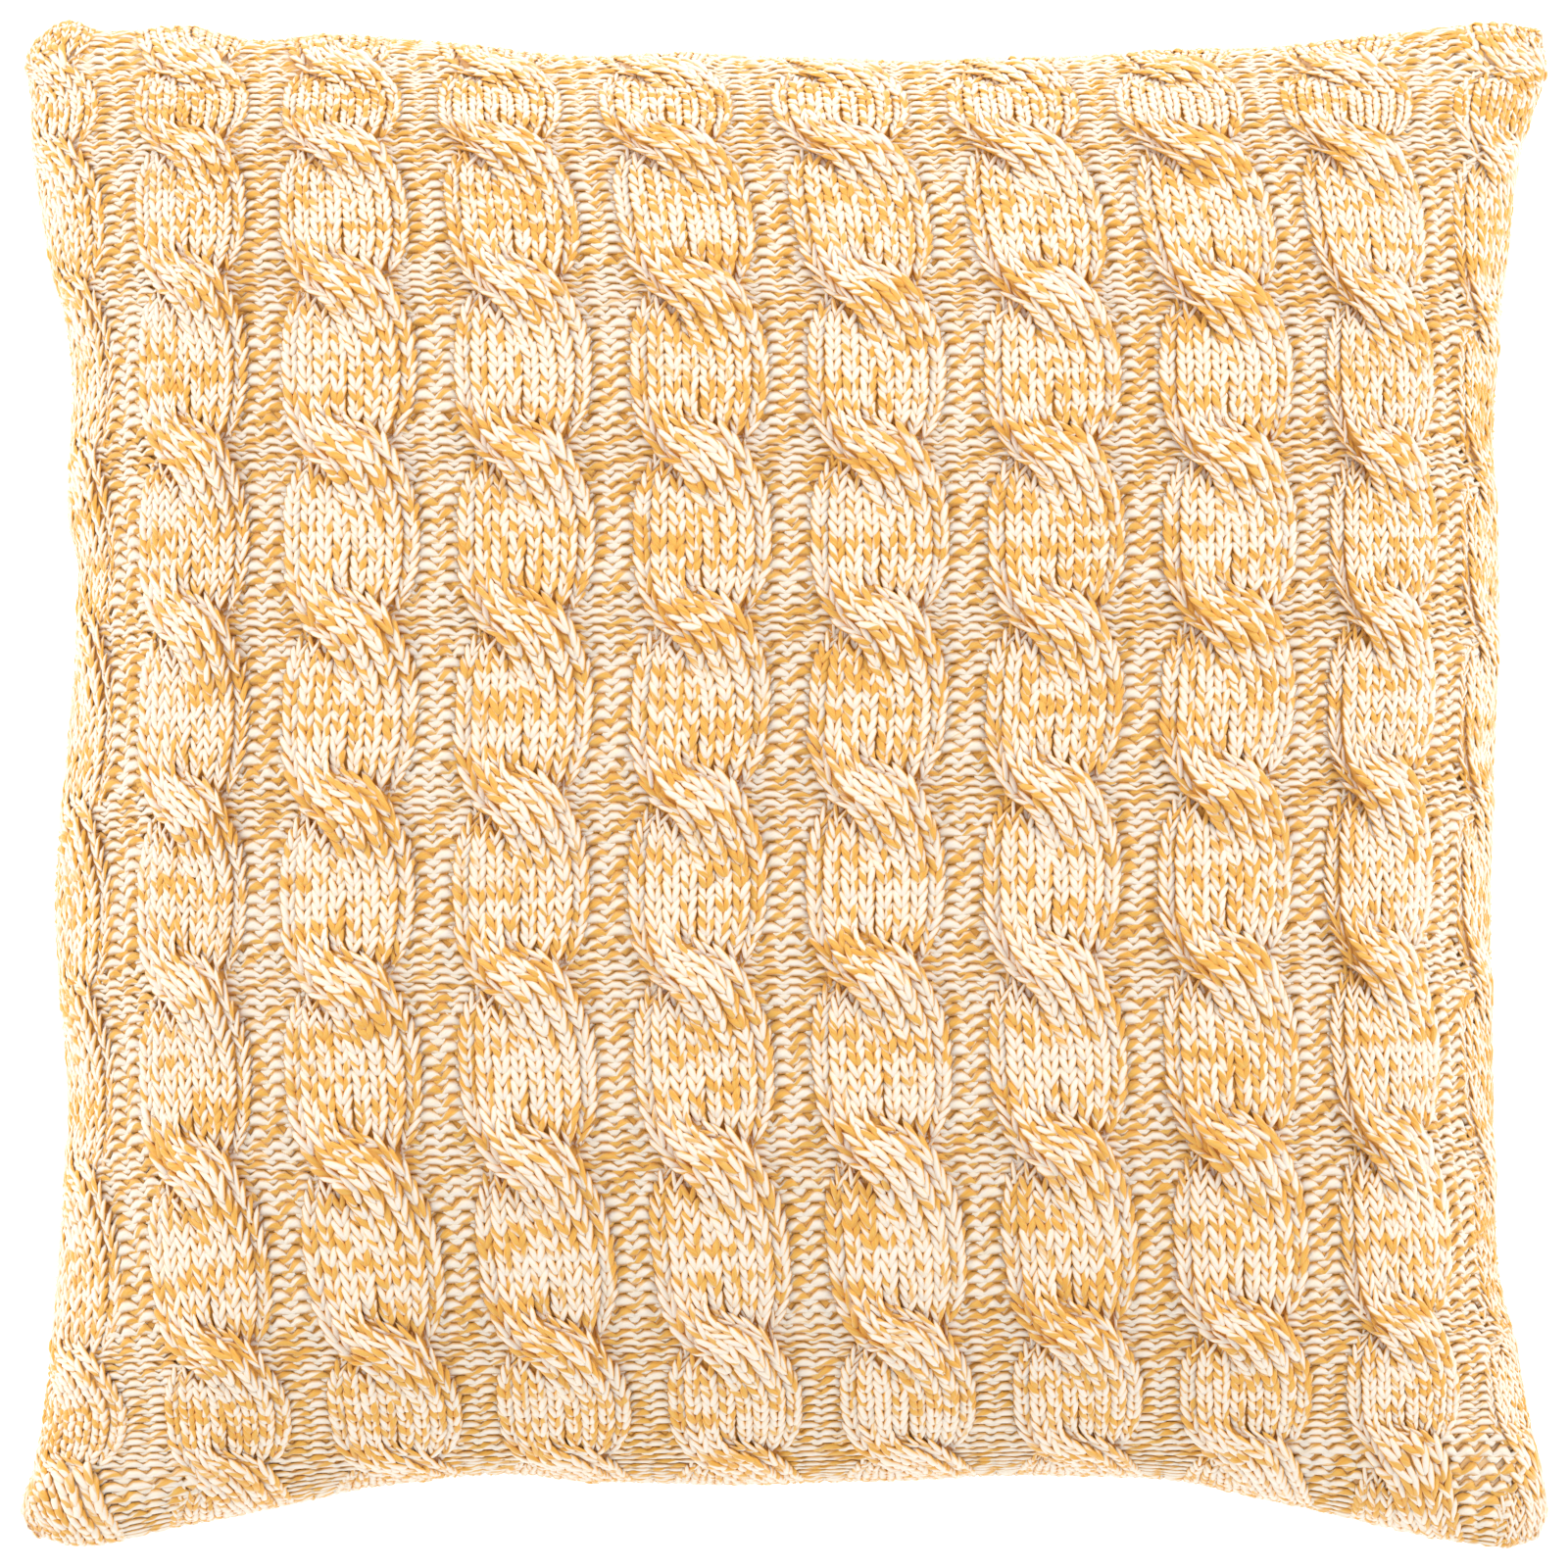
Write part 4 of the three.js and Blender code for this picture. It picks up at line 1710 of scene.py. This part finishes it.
@dataclass
class GutterRows:
    """The purl rows between two cables: two wavy strands a row, which run into the cables' sides.

    Attributes:
        humps, wide_humps: Arches or sags of a strand in the usual and in the long rows.
        wide_shares: Places within a hump of the long rows where the yarn has a section.
        width_limits, thickness_limits: Least and greatest, as shares of the usual one.
        lower_turn: How far on the lower strand's twist is, in turns.
    """

    body: FilledBody
    face: Surface
    twist: YarnTwist
    layers: tuple[PurlLayer, ...] = (
        PurlLayer("upper", False, Bow.ARCH, 0.22, 0.35, (0.0, 0.165, 0.36, 0.64, 0.835)),
        PurlLayer("lower", True, Bow.SAG, 0.28, 0.0, (0.0, 0.3, 0.7)),
    )
    humps: int = 3
    wide_humps: int = 5
    wide_shares: tuple[float, ...] = (0.0, 0.33, 0.67)
    strand_width: float = 4.0
    strand_thickness: float = 2.2
    width_limits: tuple[float, float] = (0.65, 1.2)
    thickness_limits: tuple[float, float] = (0.8, 1.1)
    tucked_end: float = 5.0
    row_pitch: float = 4.5
    sunk: float = 0.3
    lower_late: float = 0.24
    lower_drop: float = 1.0
    lower_turn: float = 0.32
    phase_spread: float = 0.07
    wide_from: float = 24.0
    pull: float = 0.3
    pull_reach: float = 0.26
    right_late: float = 0.1
    under_pinch: float = 0.07
    seed: int = 31

    def drawn_in(self, down: Array, late: float) -> Array:
        """Rows near a crossing crowd towards the pinch in the cable's side.

        Args:
            down: Places in crossing repeats.
            late: How far past its crossing the pinch lies.

        Returns:
            The places once drawn in.
        """
        plan = self.body.plan
        crossing = np.clip(np.round(down - late), plan.first_crossing, plan.last_crossing)
        past = down - crossing - late
        near = np.exp(-((past / self.pull_reach) ** 2))
        inner = (crossing > plan.first_crossing) & (crossing < plan.last_crossing)
        drawn = down - past * self.pull * near * inner
        return np.clip(drawn, plan.seam_down_top, plan.seam_down_bottom)

    def laid(self, across: Array, down: Array, lower: bool) -> tuple[Array, Array]:
        """Point and normal on the floor of the gutter.

        Args:
            across: Places in cable pitches.
            down: Places in crossing repeats.
            lower: True for the deeper strands.

        Returns:
            The points and the normals.
        """
        points, normals = self.face.sample(across, down)
        drop = self.body.relief.gutter_depth * self.body.fade(points)
        sunk = self.sunk + (self.lower_drop if lower else 0)
        return points - self.body.relief.way(normals) * drop[:, None] - normals * sunk, normals

    def add_seats(self, seats: Seats, gutter: int, lower: bool, wide: bool) -> None:
        """Adds the seats of one gutter's upper or lower strands.

        Args:
            seats: Where the seats are added.
            gutter: Number of the gutter.
            lower: True for the strands that lie deeper and a little lower.
            wide: True for the long rows beside a crossing, False for all others.
        """
        relief = self.body.relief
        rows = np.arange(int(STITCH_ROWS.rows[-1][0]))
        down = STITCH_ROWS.read("down", rows + 0.5 + (self.lower_late if lower else 0))
        left_down = self.drawn_in(down, 0.0)
        right_down = self.drawn_in(down, self.right_late)
        left_past = left_down - np.round(left_down)
        _, cable_right = relief.edges(left_past)
        cable_left, _ = relief.edges(right_down - np.round(right_down))
        under_pinch = self.under_pinch * np.exp(-((left_past / self.pull_reach) ** 2))
        left_across = gutter - 0.5 + cable_right - under_pinch
        right_across = gutter + 0.5 + cable_left
        left_end, _ = self.laid(left_across, left_down, lower)
        right_end, _ = self.laid(right_across, right_down, lower)
        middle, normals = self.laid((left_across + right_across) / 2, (left_down + right_down) / 2, lower)
        span = right_end - left_end
        length = np.linalg.norm(span, axis=-1)
        run = unit(span)
        normals = unit(normals - run * (normals * run).sum(-1, keepdims=True))
        ratio = np.linalg.norm(np.gradient(middle, axis=0), axis=-1) / self.row_pitch
        scale = np.stack([
            np.clip(ratio, *self.width_limits),
            length + 2 * self.tucked_end,
            np.clip(ratio, *self.thickness_limits),
        ], -1)
        rng = np.random.default_rng([self.seed, gutter + SEED_SHIFT, int(lower)])
        phase = self.twist.phase(rows, np.full(len(rows), gutter * PITCH_WALES - 1.0))
        uneven = self.phase_spread * rng.standard_normal(len(rows))
        phase = phase + (self.lower_turn if lower else 0.0) + uneven
        keep = (length > self.wide_from) == wide
        seats.add(middle[keep], normals[keep], run[keep], scale[keep], phase[keep])

    def shape(self, layer: PurlLayer, wide: bool) -> YarnShape:
        """Shape of the strands in a layer's usual or long rows.

        Args:
            layer: The layer.
            wide: True for the long rows.

        Returns:
            The shape.
        """
        humps = self.wide_humps if wide else self.humps
        return YarnShape(
            f"purl_{layer.name}",
            stations=bowed_stations(humps, layer.bow, self.wide_shares if wide else layer.shares),
            wave=layer.wave,
            plunge=layer.plunge,
            humps=humps,
            bow=layer.bow,
            profile=RIDGE_PROFILE,
            around=RIDGE_AROUND,
        )

    def build(self, tree: StitchTree, yarn: bpy.types.Material) -> None:
        """Makes two pieces for each layer: the usual rows of all gutters, and the long ones.

        Args:
            tree: Sets the strands on their seats.
            yarn: Finish of the strands.
        """
        outer = int(self.body.plan.outer_gutter)
        size = (self.strand_width, 1.0, self.strand_thickness)
        for layer in self.layers:
            for width, wide in (("", False), ("wide_", True)):
                seats = Seats()
                for gutter in range(-outer, outer + 1):
                    self.add_seats(seats, gutter, layer.lower, wide)
                shape = self.shape(layer, wide).build()
                settle(tree.set_stitches(f"purl_{layer.name}_{width}rows", seats, shape, size, yarn))
                bpy.data.objects.remove(shape)


@dataclass
class SideBand:
    """Plain stitches from just above the seam down the sides, to where the cushion meets the floor.

    Attributes:
        measured_at: Share of the way round the cushion at which the way down is measured.
        twist_row: Number of the band's first row in the yarn's twist.
        drawn_up: How far up the first row is drawn over the seam, in millimetres.
        calm_from, calm_to: Distances from the nearer middle line of the cushion between which
            that fades out, towards the corners.
    """

    back: Surface
    twist: YarnTwist
    leg: YarnShape = YarnShape(
        "band_leg",
        stations=((-0.22, 0.95), (0.22, 0.95)),
        bend=0.55,
        profile=RIDGE_PROFILE,
        around=RIDGE_AROUND,
    )
    wales: int = 340
    row_pitch: float = 4.9
    samples: int = 400
    measured_at: float = 0.125
    first_shrink: float = 0.0
    last_shrink: float = 0.215
    shrink_step: float = 0.004
    leg_width: float = 3.2
    leg_length: float = 9.6
    leg_thickness: float = 3.0
    width_limits: tuple[float, float] = (0.5, 1.2)
    thickness_limits: tuple[float, float] = (0.8, 1.1)
    lean: float = math.radians(15)
    lean_spread: float = 0.06
    phase_spread: float = 0.05
    twist_row: int = 160
    sunk: float = 1.3
    sunk_at_seam: float = 0.8
    seam_reach: float = 6.0
    least_height: float = 1.7
    drawn_up: float = 5.6
    first_stretch: float = 0.5
    calm_from: float = 190
    calm_to: float = 262
    seed: int = 41

    def row_shrinks(self) -> Array:
        """Shrink of each row of stitches, evenly spaced along the steepest way down the side.

        Returns:
            The shrinks, from the seam down.
        """
        shrink = np.linspace(self.first_shrink, self.last_shrink, self.samples)
        points, _ = self.back.sample(np.full(self.samples, self.measured_at), shrink)
        length = np.concatenate([[0], np.cumsum(np.linalg.norm(np.diff(points, axis=0), axis=1))])
        count = int(length[-1] / self.row_pitch)
        return np.interp((np.arange(count) + 0.5) / count * length[-1], length, shrink)

    def seats(self) -> Seats:
        """Seats of all legs of the band.

        Returns:
            The seats.
        """
        shrinks = self.row_shrinks()
        row, wale = np.meshgrid(np.arange(len(shrinks)), np.arange(self.wales), indexing="ij")
        place = (wale + 0.5) / self.wales
        shrink = shrinks[row]
        point, normal = self.back.sample(place, shrink)
        upper, _ = self.back.sample(place, np.maximum(shrink - self.shrink_step, 0))
        lower, _ = self.back.sample(place, shrink + self.shrink_step)
        run = unit(upper - lower)
        beside = np.cross(run, normal)
        ahead, _ = self.back.sample(place + 0.5 / self.wales, shrink)
        behind, _ = self.back.sample(place - 0.5 / self.wales, shrink)
        width = np.abs(((ahead - behind) * beside).sum(-1))
        free = 1 - smooth_step(self.calm_from, self.calm_to, np.abs(point[..., :2]).min(-1))
        point = point + run * (self.drawn_up * free * (1 - row / (len(shrinks) - 1)))[..., None]
        ratio = width / (2 * self.leg_width)
        stretch = 1 + self.first_stretch * free * (row == 0)
        scale = np.stack([
            np.clip(ratio, *self.width_limits),
            stretch,
            np.clip(ratio, *self.thickness_limits),
        ], -1)
        sunk = self.sunk + self.sunk_at_seam * np.exp(-row * self.row_pitch / self.seam_reach)
        turn = self.twist.phase(row + self.twist_row, wale)
        rng = np.random.default_rng(self.seed)
        seats = Seats()
        for side in Side:
            lean = self.lean + self.lean_spread * rng.standard_normal(place.shape)
            seat = point + side.value * beside * (width / 4)[..., None] - normal * sunk[..., None]
            seat[..., 2] = np.maximum(seat[..., 2], self.least_height)
            vectors = (seat, normal, leaning(run, beside, lean, side), scale)
            uneven = self.phase_spread * rng.standard_normal(place.shape)
            phase = self.twist.leg_phase(turn, side) + uneven
            seats.add(*(part.reshape(-1, 3) for part in vectors), phase.ravel())
        return seats

    def build(self, tree: StitchTree, yarn: bpy.types.Material) -> None:
        """Makes the band's piece.

        Args:
            tree: Sets the legs on their seats.
            yarn: Finish of the legs.
        """
        leg = self.leg.build()
        size = (self.leg_width, self.leg_length, self.leg_thickness)
        settle(tree.set_stitches("side_band", self.seats(), leg, size, yarn))
        bpy.data.objects.remove(leg)


@dataclass(frozen=True)
class MarledGroup:
    """Shader node group of the two-ply yarn: where the mustard ply shows, and the plies' height.

    Attributes:
        mustard_share: Share of the way round the yarn that the mustard ply takes.
        fibre_seed: How far apart the fibres of two stitches are drawn.
        fibre_edge: How far the fibres blur the plies' edge.
    """

    name: str = "marled_plies"
    mustard_share: float = 0.33
    softness: float = 0.24
    groove_width: float = 0.6
    fibre_turns: float = 9
    fibres_along: float = 1.5
    fibre_seed: float = 37
    fibre_scale: float = 1.6
    fibre_detail: float = 3
    fibre_edge: float = 0.9
    fibre_height: float = 0.8

    def build(self) -> bpy.types.NodeTree:
        """Makes the group.

        Returns:
            The group: Around, Along, Turns, Phase and Tone in, Mustard, Height and Shade out.
        """
        group = bpy.data.node_groups.new(self.name, "ShaderNodeTree")
        for key in ("Around", "Along", "Turns", "Phase", "Tone"):
            group.interface.new_socket(key, in_out="INPUT", socket_type="NodeSocketFloat")
        for key in ("Mustard", "Height", "Shade"):
            group.interface.new_socket(key, in_out="OUTPUT", socket_type="NodeSocketFloat")
        kit = NodeKit(group)
        entry = kit.add("NodeGroupInput").outputs
        wound = kit.math("MULTIPLY", entry["Along"], entry["Turns"])
        turned = kit.math("ADD", kit.math("ADD", entry["Around"], wound), entry["Phase"])
        wave = kit.math("COSINE", kit.math("MULTIPLY", turned, 2 * math.pi))
        fibre_place = kit.vector(
            kit.math("MULTIPLY", turned, self.fibre_turns),
            kit.math("MULTIPLY", entry["Along"], self.fibres_along),
            kit.math("MULTIPLY", entry["Phase"], self.fibre_seed),
        )
        fibres = kit.noise(fibre_place, self.fibre_scale, self.fibre_detail)
        blur = kit.math("MULTIPLY", kit.math("SUBTRACT", fibres, 0.5), self.fibre_edge)
        toned = kit.math("ADD", kit.math("ADD", wave, blur), entry["Tone"])
        limit = math.cos(math.pi * self.mustard_share)
        groove = kit.math("ABSOLUTE", kit.math("SUBTRACT", wave, limit))
        ply = kit.step(groove, 0.0, self.groove_width)
        kit.add("NodeGroupOutput", {
            "Mustard": kit.step(toned, limit - self.softness, limit + self.softness),
            "Height": kit.math("ADD", ply, kit.math("MULTIPLY", fibres, self.fibre_height)),
            "Shade": fibres,
        })
        return group


@dataclass(frozen=True)
class MarledYarn:
    """The finish of the stitches: cream and mustard cotton plied together.

    Attributes:
        turns: Turns of the twist along one length of yarn.
        shadow: Colour down the yarn's flanks, where the stitches shade each other.
        shadow_reach: How far up the flanks it reaches, in shares of a turn.
        patch_scale: Patches of one ply to a metre, each way.
        patchiness: How much more of one ply than of the other shows in a patch.
        shade_edges: Fibre values between which the shaded colours turn into the bright ones.
        depth: Depth of the groove between the plies, in millimetres.
        bump: Strength of the bump.
    """

    name: str
    group: bpy.types.NodeTree
    turns: float
    cream: Colour = (0.85, 0.78, 0.70, 1)
    cream_shade: Colour = (0.87, 0.765, 0.59, 1)
    mustard: Colour = (0.765, 0.455, 0.105, 1)
    mustard_shade: Colour = (0.78, 0.37, 0.05, 1)
    shadow: Colour = (0.95, 0.48, 0.075, 1)
    shadow_reach: float = 0.21
    patch_scale: tuple[float, float, float] = (26, 70, 26)
    patchiness: float = 2.6
    shade_edges: tuple[float, float] = (0.3, 0.65)
    roughness: float = 0.9
    sheen: float = 1.0
    sheen_roughness: float = 0.5
    gloss: float = 0.2
    depth: float = 0.4
    bump: float = 0.25

    def build(self) -> bpy.types.Material:
        """Makes the material.

        Returns:
            The material.
        """
        material, kit = new_material(self.name)
        place = kit.add("ShaderNodeUVMap", uv_map="yarn").outputs[0]
        split = kit.add("ShaderNodeSeparateXYZ", {0: place})
        around, along = split.outputs[0], split.outputs[1]
        spread = kit.add("ShaderNodeMapping", {"Vector": kit.object_place(), "Scale": self.patch_scale})
        tone = kit.math("SUBTRACT", kit.noise(spread.outputs[0], 1.0), 0.5)
        plies_inputs = {
            "Around": around,
            "Along": along,
            "Turns": self.turns,
            "Phase": kit.attribute("phase"),
            "Tone": kit.math("MULTIPLY", tone, self.patchiness),
        }
        plies = kit.add("ShaderNodeGroup", plies_inputs, node_tree=self.group).outputs
        shade = kit.step(plies["Shade"], *self.shade_edges)
        cream = kit.mix(shade, self.cream_shade, self.cream)
        mustard = kit.mix(shade, self.mustard_shade, self.mustard)
        colour = kit.mix(plies["Mustard"], cream, mustard)
        rise = kit.math("MINIMUM", around, kit.math("SUBTRACT", 0.5, around))
        open_share = kit.step(rise, 0.0, self.shadow_reach)
        shader_inputs = {
            "Base Color": kit.mix(open_share, self.shadow, colour),
            "Roughness": self.roughness,
            "Sheen Weight": kit.math("MULTIPLY", open_share, self.sheen),
            "Sheen Roughness": self.sheen_roughness,
            "Sheen Tint": self.cream,
            "Specular IOR Level": self.gloss,
        }
        kit.finish(plies["Height"], self.depth, shader_inputs, self.bump)
        return material


@dataclass(frozen=True)
class GroundKnit:
    """The loops under the stitches, seen only through the gaps between them, coloured in painted shade that
    turns pale near the seam.
    """

    name: str = "shaded_loops"
    # Painted shade of the yarn deep in the gaps, in dark and light patches, and the pale colour that takes
    # its place near the seam
    dark: Colour = (0.55, 0.25, 0.045, 1)
    light: Colour = (0.74, 0.38, 0.08, 1)
    rim: Colour = (0.88, 0.77, 0.60, 1)
    patch_scale: float = 180
    patch_edges: tuple[float, float] = (0.35, 0.65)
    roughness: float = 0.95
    depth: float = 0.5

    def build(self) -> bpy.types.Material:
        """Makes the material.

        Returns:
            The material.
        """
        material, kit = new_material(self.name)
        patches = kit.noise(kit.object_place(), self.patch_scale)
        colour = kit.mix(kit.step(patches, *self.patch_edges), self.dark, self.light)
        colour = kit.mix(kit.attribute("rim"), colour, self.rim)
        kit.finish(patches, self.depth, {"Base Color": colour, "Roughness": self.roughness})
        return material


@dataclass(frozen=True)
class PlainBack:
    """The plain stockinette of the back, as colour and bump on a fine grid of stitches, with painted shade in
    the gaps between its legs.

    Attributes:
        slant: Rows to a wale by which the legs slant.
        ridge_power: How roundly a leg rises along the wale: rounder below 1.
        leg_power: The same across the wale.
    """

    name: str = "plain_back"
    wale: float = 6.3
    row: float = 4.6
    slant: float = -1.9
    ridge_power: float = 0.6
    leg_power: float = 0.5
    patch_scale: float = 70
    patch_edges: tuple[float, float] = (0.5, 0.56)
    gap_shade_edges: tuple[float, float] = (0.1, 0.5)
    cream: Colour = (0.90, 0.83, 0.72, 1)
    mustard: Colour = (0.86, 0.43, 0.075, 1)
    # Painted shade between the legs
    gap: Colour = (0.35, 0.17, 0.05, 1)
    roughness: float = 0.92
    sheen: float = 0.25
    depth: float = 2

    def build(self) -> bpy.types.Material:
        """Makes the material.

        Returns:
            The material.
        """
        material, kit = new_material(self.name)
        place = kit.object_place()
        split = kit.add("ShaderNodeSeparateXYZ", {0: place}).outputs
        wale = kit.math("DIVIDE", split[0], self.wale * MM)
        in_wale = kit.math("ABSOLUTE", kit.math("SUBTRACT", kit.math("FRACT", wale), 0.5))
        row = kit.math("DIVIDE", split[1], self.row * MM)
        in_row = kit.math("FRACT", kit.math("ADD", row, kit.math("MULTIPLY", in_wale, self.slant)))
        ridge = kit.math("POWER", kit.math("SINE", kit.math("MULTIPLY", in_row, math.pi)), self.ridge_power)
        leg = kit.math("POWER", kit.math("SINE", kit.math("MULTIPLY", in_wale, 2 * math.pi)), self.leg_power)
        height = kit.math("MULTIPLY", ridge, leg)
        patches = kit.step(kit.noise(place, self.patch_scale), *self.patch_edges)
        colour = kit.mix(patches, self.cream, self.mustard)
        shader_inputs = {
            # Painted shade: the gap colour where the bump is low, between the legs
            "Base Color": kit.mix(kit.step(height, *self.gap_shade_edges), self.gap, colour),
            "Roughness": self.roughness,
            "Sheen Weight": self.sheen,
        }
        kit.finish(height, self.depth, shader_inputs)
        return material


@dataclass(frozen=True)
class Studio:
    """The pale floor, the soft light and the camera straight above the face.

    The floor's size, the lamps' and the clip distances are in metres, all other lengths in
    millimetres.
    """

    floor_size: float = 60
    floor_gap: float = 0.5
    floor_grey: float = 0.92
    floor_roughness: float = 0.9
    floor_glow: float = 0.6
    frame_width: float = 612.7
    lens: float = 800
    sensor: float = 36
    seam_height: float = 72
    clip_start: float = 0.1
    clip_beyond: float = 10
    sky: float = 1.04
    lamp_power: float = 20
    lamp_size: float = 1.6
    lamp_place: tuple[float, float, float] = (1.9, 1.1, 1.2)

    def floor(self) -> None:
        """Lays the floor."""
        half = self.floor_size / 2 / MM
        corners = [(x * half, y * half, -self.floor_gap) for x, y in ((-1, -1), (1, -1), (1, 1), (-1, 1))]
        floor = new_mesh_object("floor", np.array(corners), [(0, 1, 2, 3)], smooth=False)
        material = bpy.data.materials.new("pale_floor")
        material.use_nodes = True
        inputs = material.node_tree.nodes["Principled BSDF"].inputs
        inputs["Base Color"].default_value = (self.floor_grey,) * 3 + (1,)
        inputs["Roughness"].default_value = self.floor_roughness
        inputs["Emission Color"].default_value = (1, 1, 1, 1)
        inputs["Emission Strength"].default_value = self.floor_glow
        floor.data.materials.append(material)

    def light(self) -> None:
        """Sets the even light all round, and a large soft lamp at each side towards the top."""
        world = bpy.data.worlds.new("studio")
        world.use_nodes = True
        background = world.node_tree.nodes["Background"].inputs
        background["Color"].default_value = (1, 1, 1, 1)
        background["Strength"].default_value = self.sky
        bpy.context.scene.world = world
        x, y, z = self.lamp_place
        for side in Side:
            data = bpy.data.lights.new(f"lamp_{side.name.lower()}", "AREA")
            data.energy = self.lamp_power
            data.size = self.lamp_size
            lamp = place_object(data.name, data)
            lamp.location = (side.value * x, y, z)
            lamp.rotation_mode = "QUATERNION"
            lamp.rotation_quaternion = (-Vector(lamp.location)).to_track_quat("-Z", "Y")

    def camera(self) -> None:
        """Sets the camera straight above, with the photograph's frame at the height of the seam."""
        data = bpy.data.cameras.new("camera")
        data.lens = self.lens
        data.sensor_width = self.sensor
        distance = self.frame_width * MM / self.sensor * self.lens
        data.clip_start = self.clip_start
        data.clip_end = distance + self.clip_beyond
        camera = place_object("camera", data)
        camera.location = (0, 0, self.seam_height * MM + distance)
        bpy.context.scene.camera = camera


def main() -> None:
    """Builds the cushion piece by piece, then the studio round it."""
    logging.basicConfig(level=logging.INFO, format="%(name)s: %(message)s")
    body = FilledBody(KnitPlan(), CableRelief())
    body.swell()
    face = body.face_surface()
    back = body.back_surface()

    group = MarledGroup().build()
    leg_yarn = MarledYarn("marled_legs", group, turns=0.5).build()
    purl_yarn = MarledYarn("marled_purl", group, turns=2.0, shadow_reach=0.15).build()

    filled = body.build(face)
    for finish in (GroundKnit(), PlainBack()):
        filled.data.materials.append(finish.build())
    settle(filled)

    twist = YarnTwist()
    tree = StitchTree()
    CableLegs(body, face, twist).build(tree, leg_yarn)
    GutterRows(body, face, twist).build(tree, purl_yarn)
    SideBand(back, twist).build(tree, leg_yarn)

    studio = Studio()
    studio.floor()
    studio.light()
    studio.camera()
    bpy.context.scene.view_settings.view_transform = "Standard"

    total = sum(triangle_count(o) for o in bpy.context.scene.objects if o.get("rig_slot"))
    log.info("all pieces: %d triangles", total)


if __name__ == "__main__":
    main()
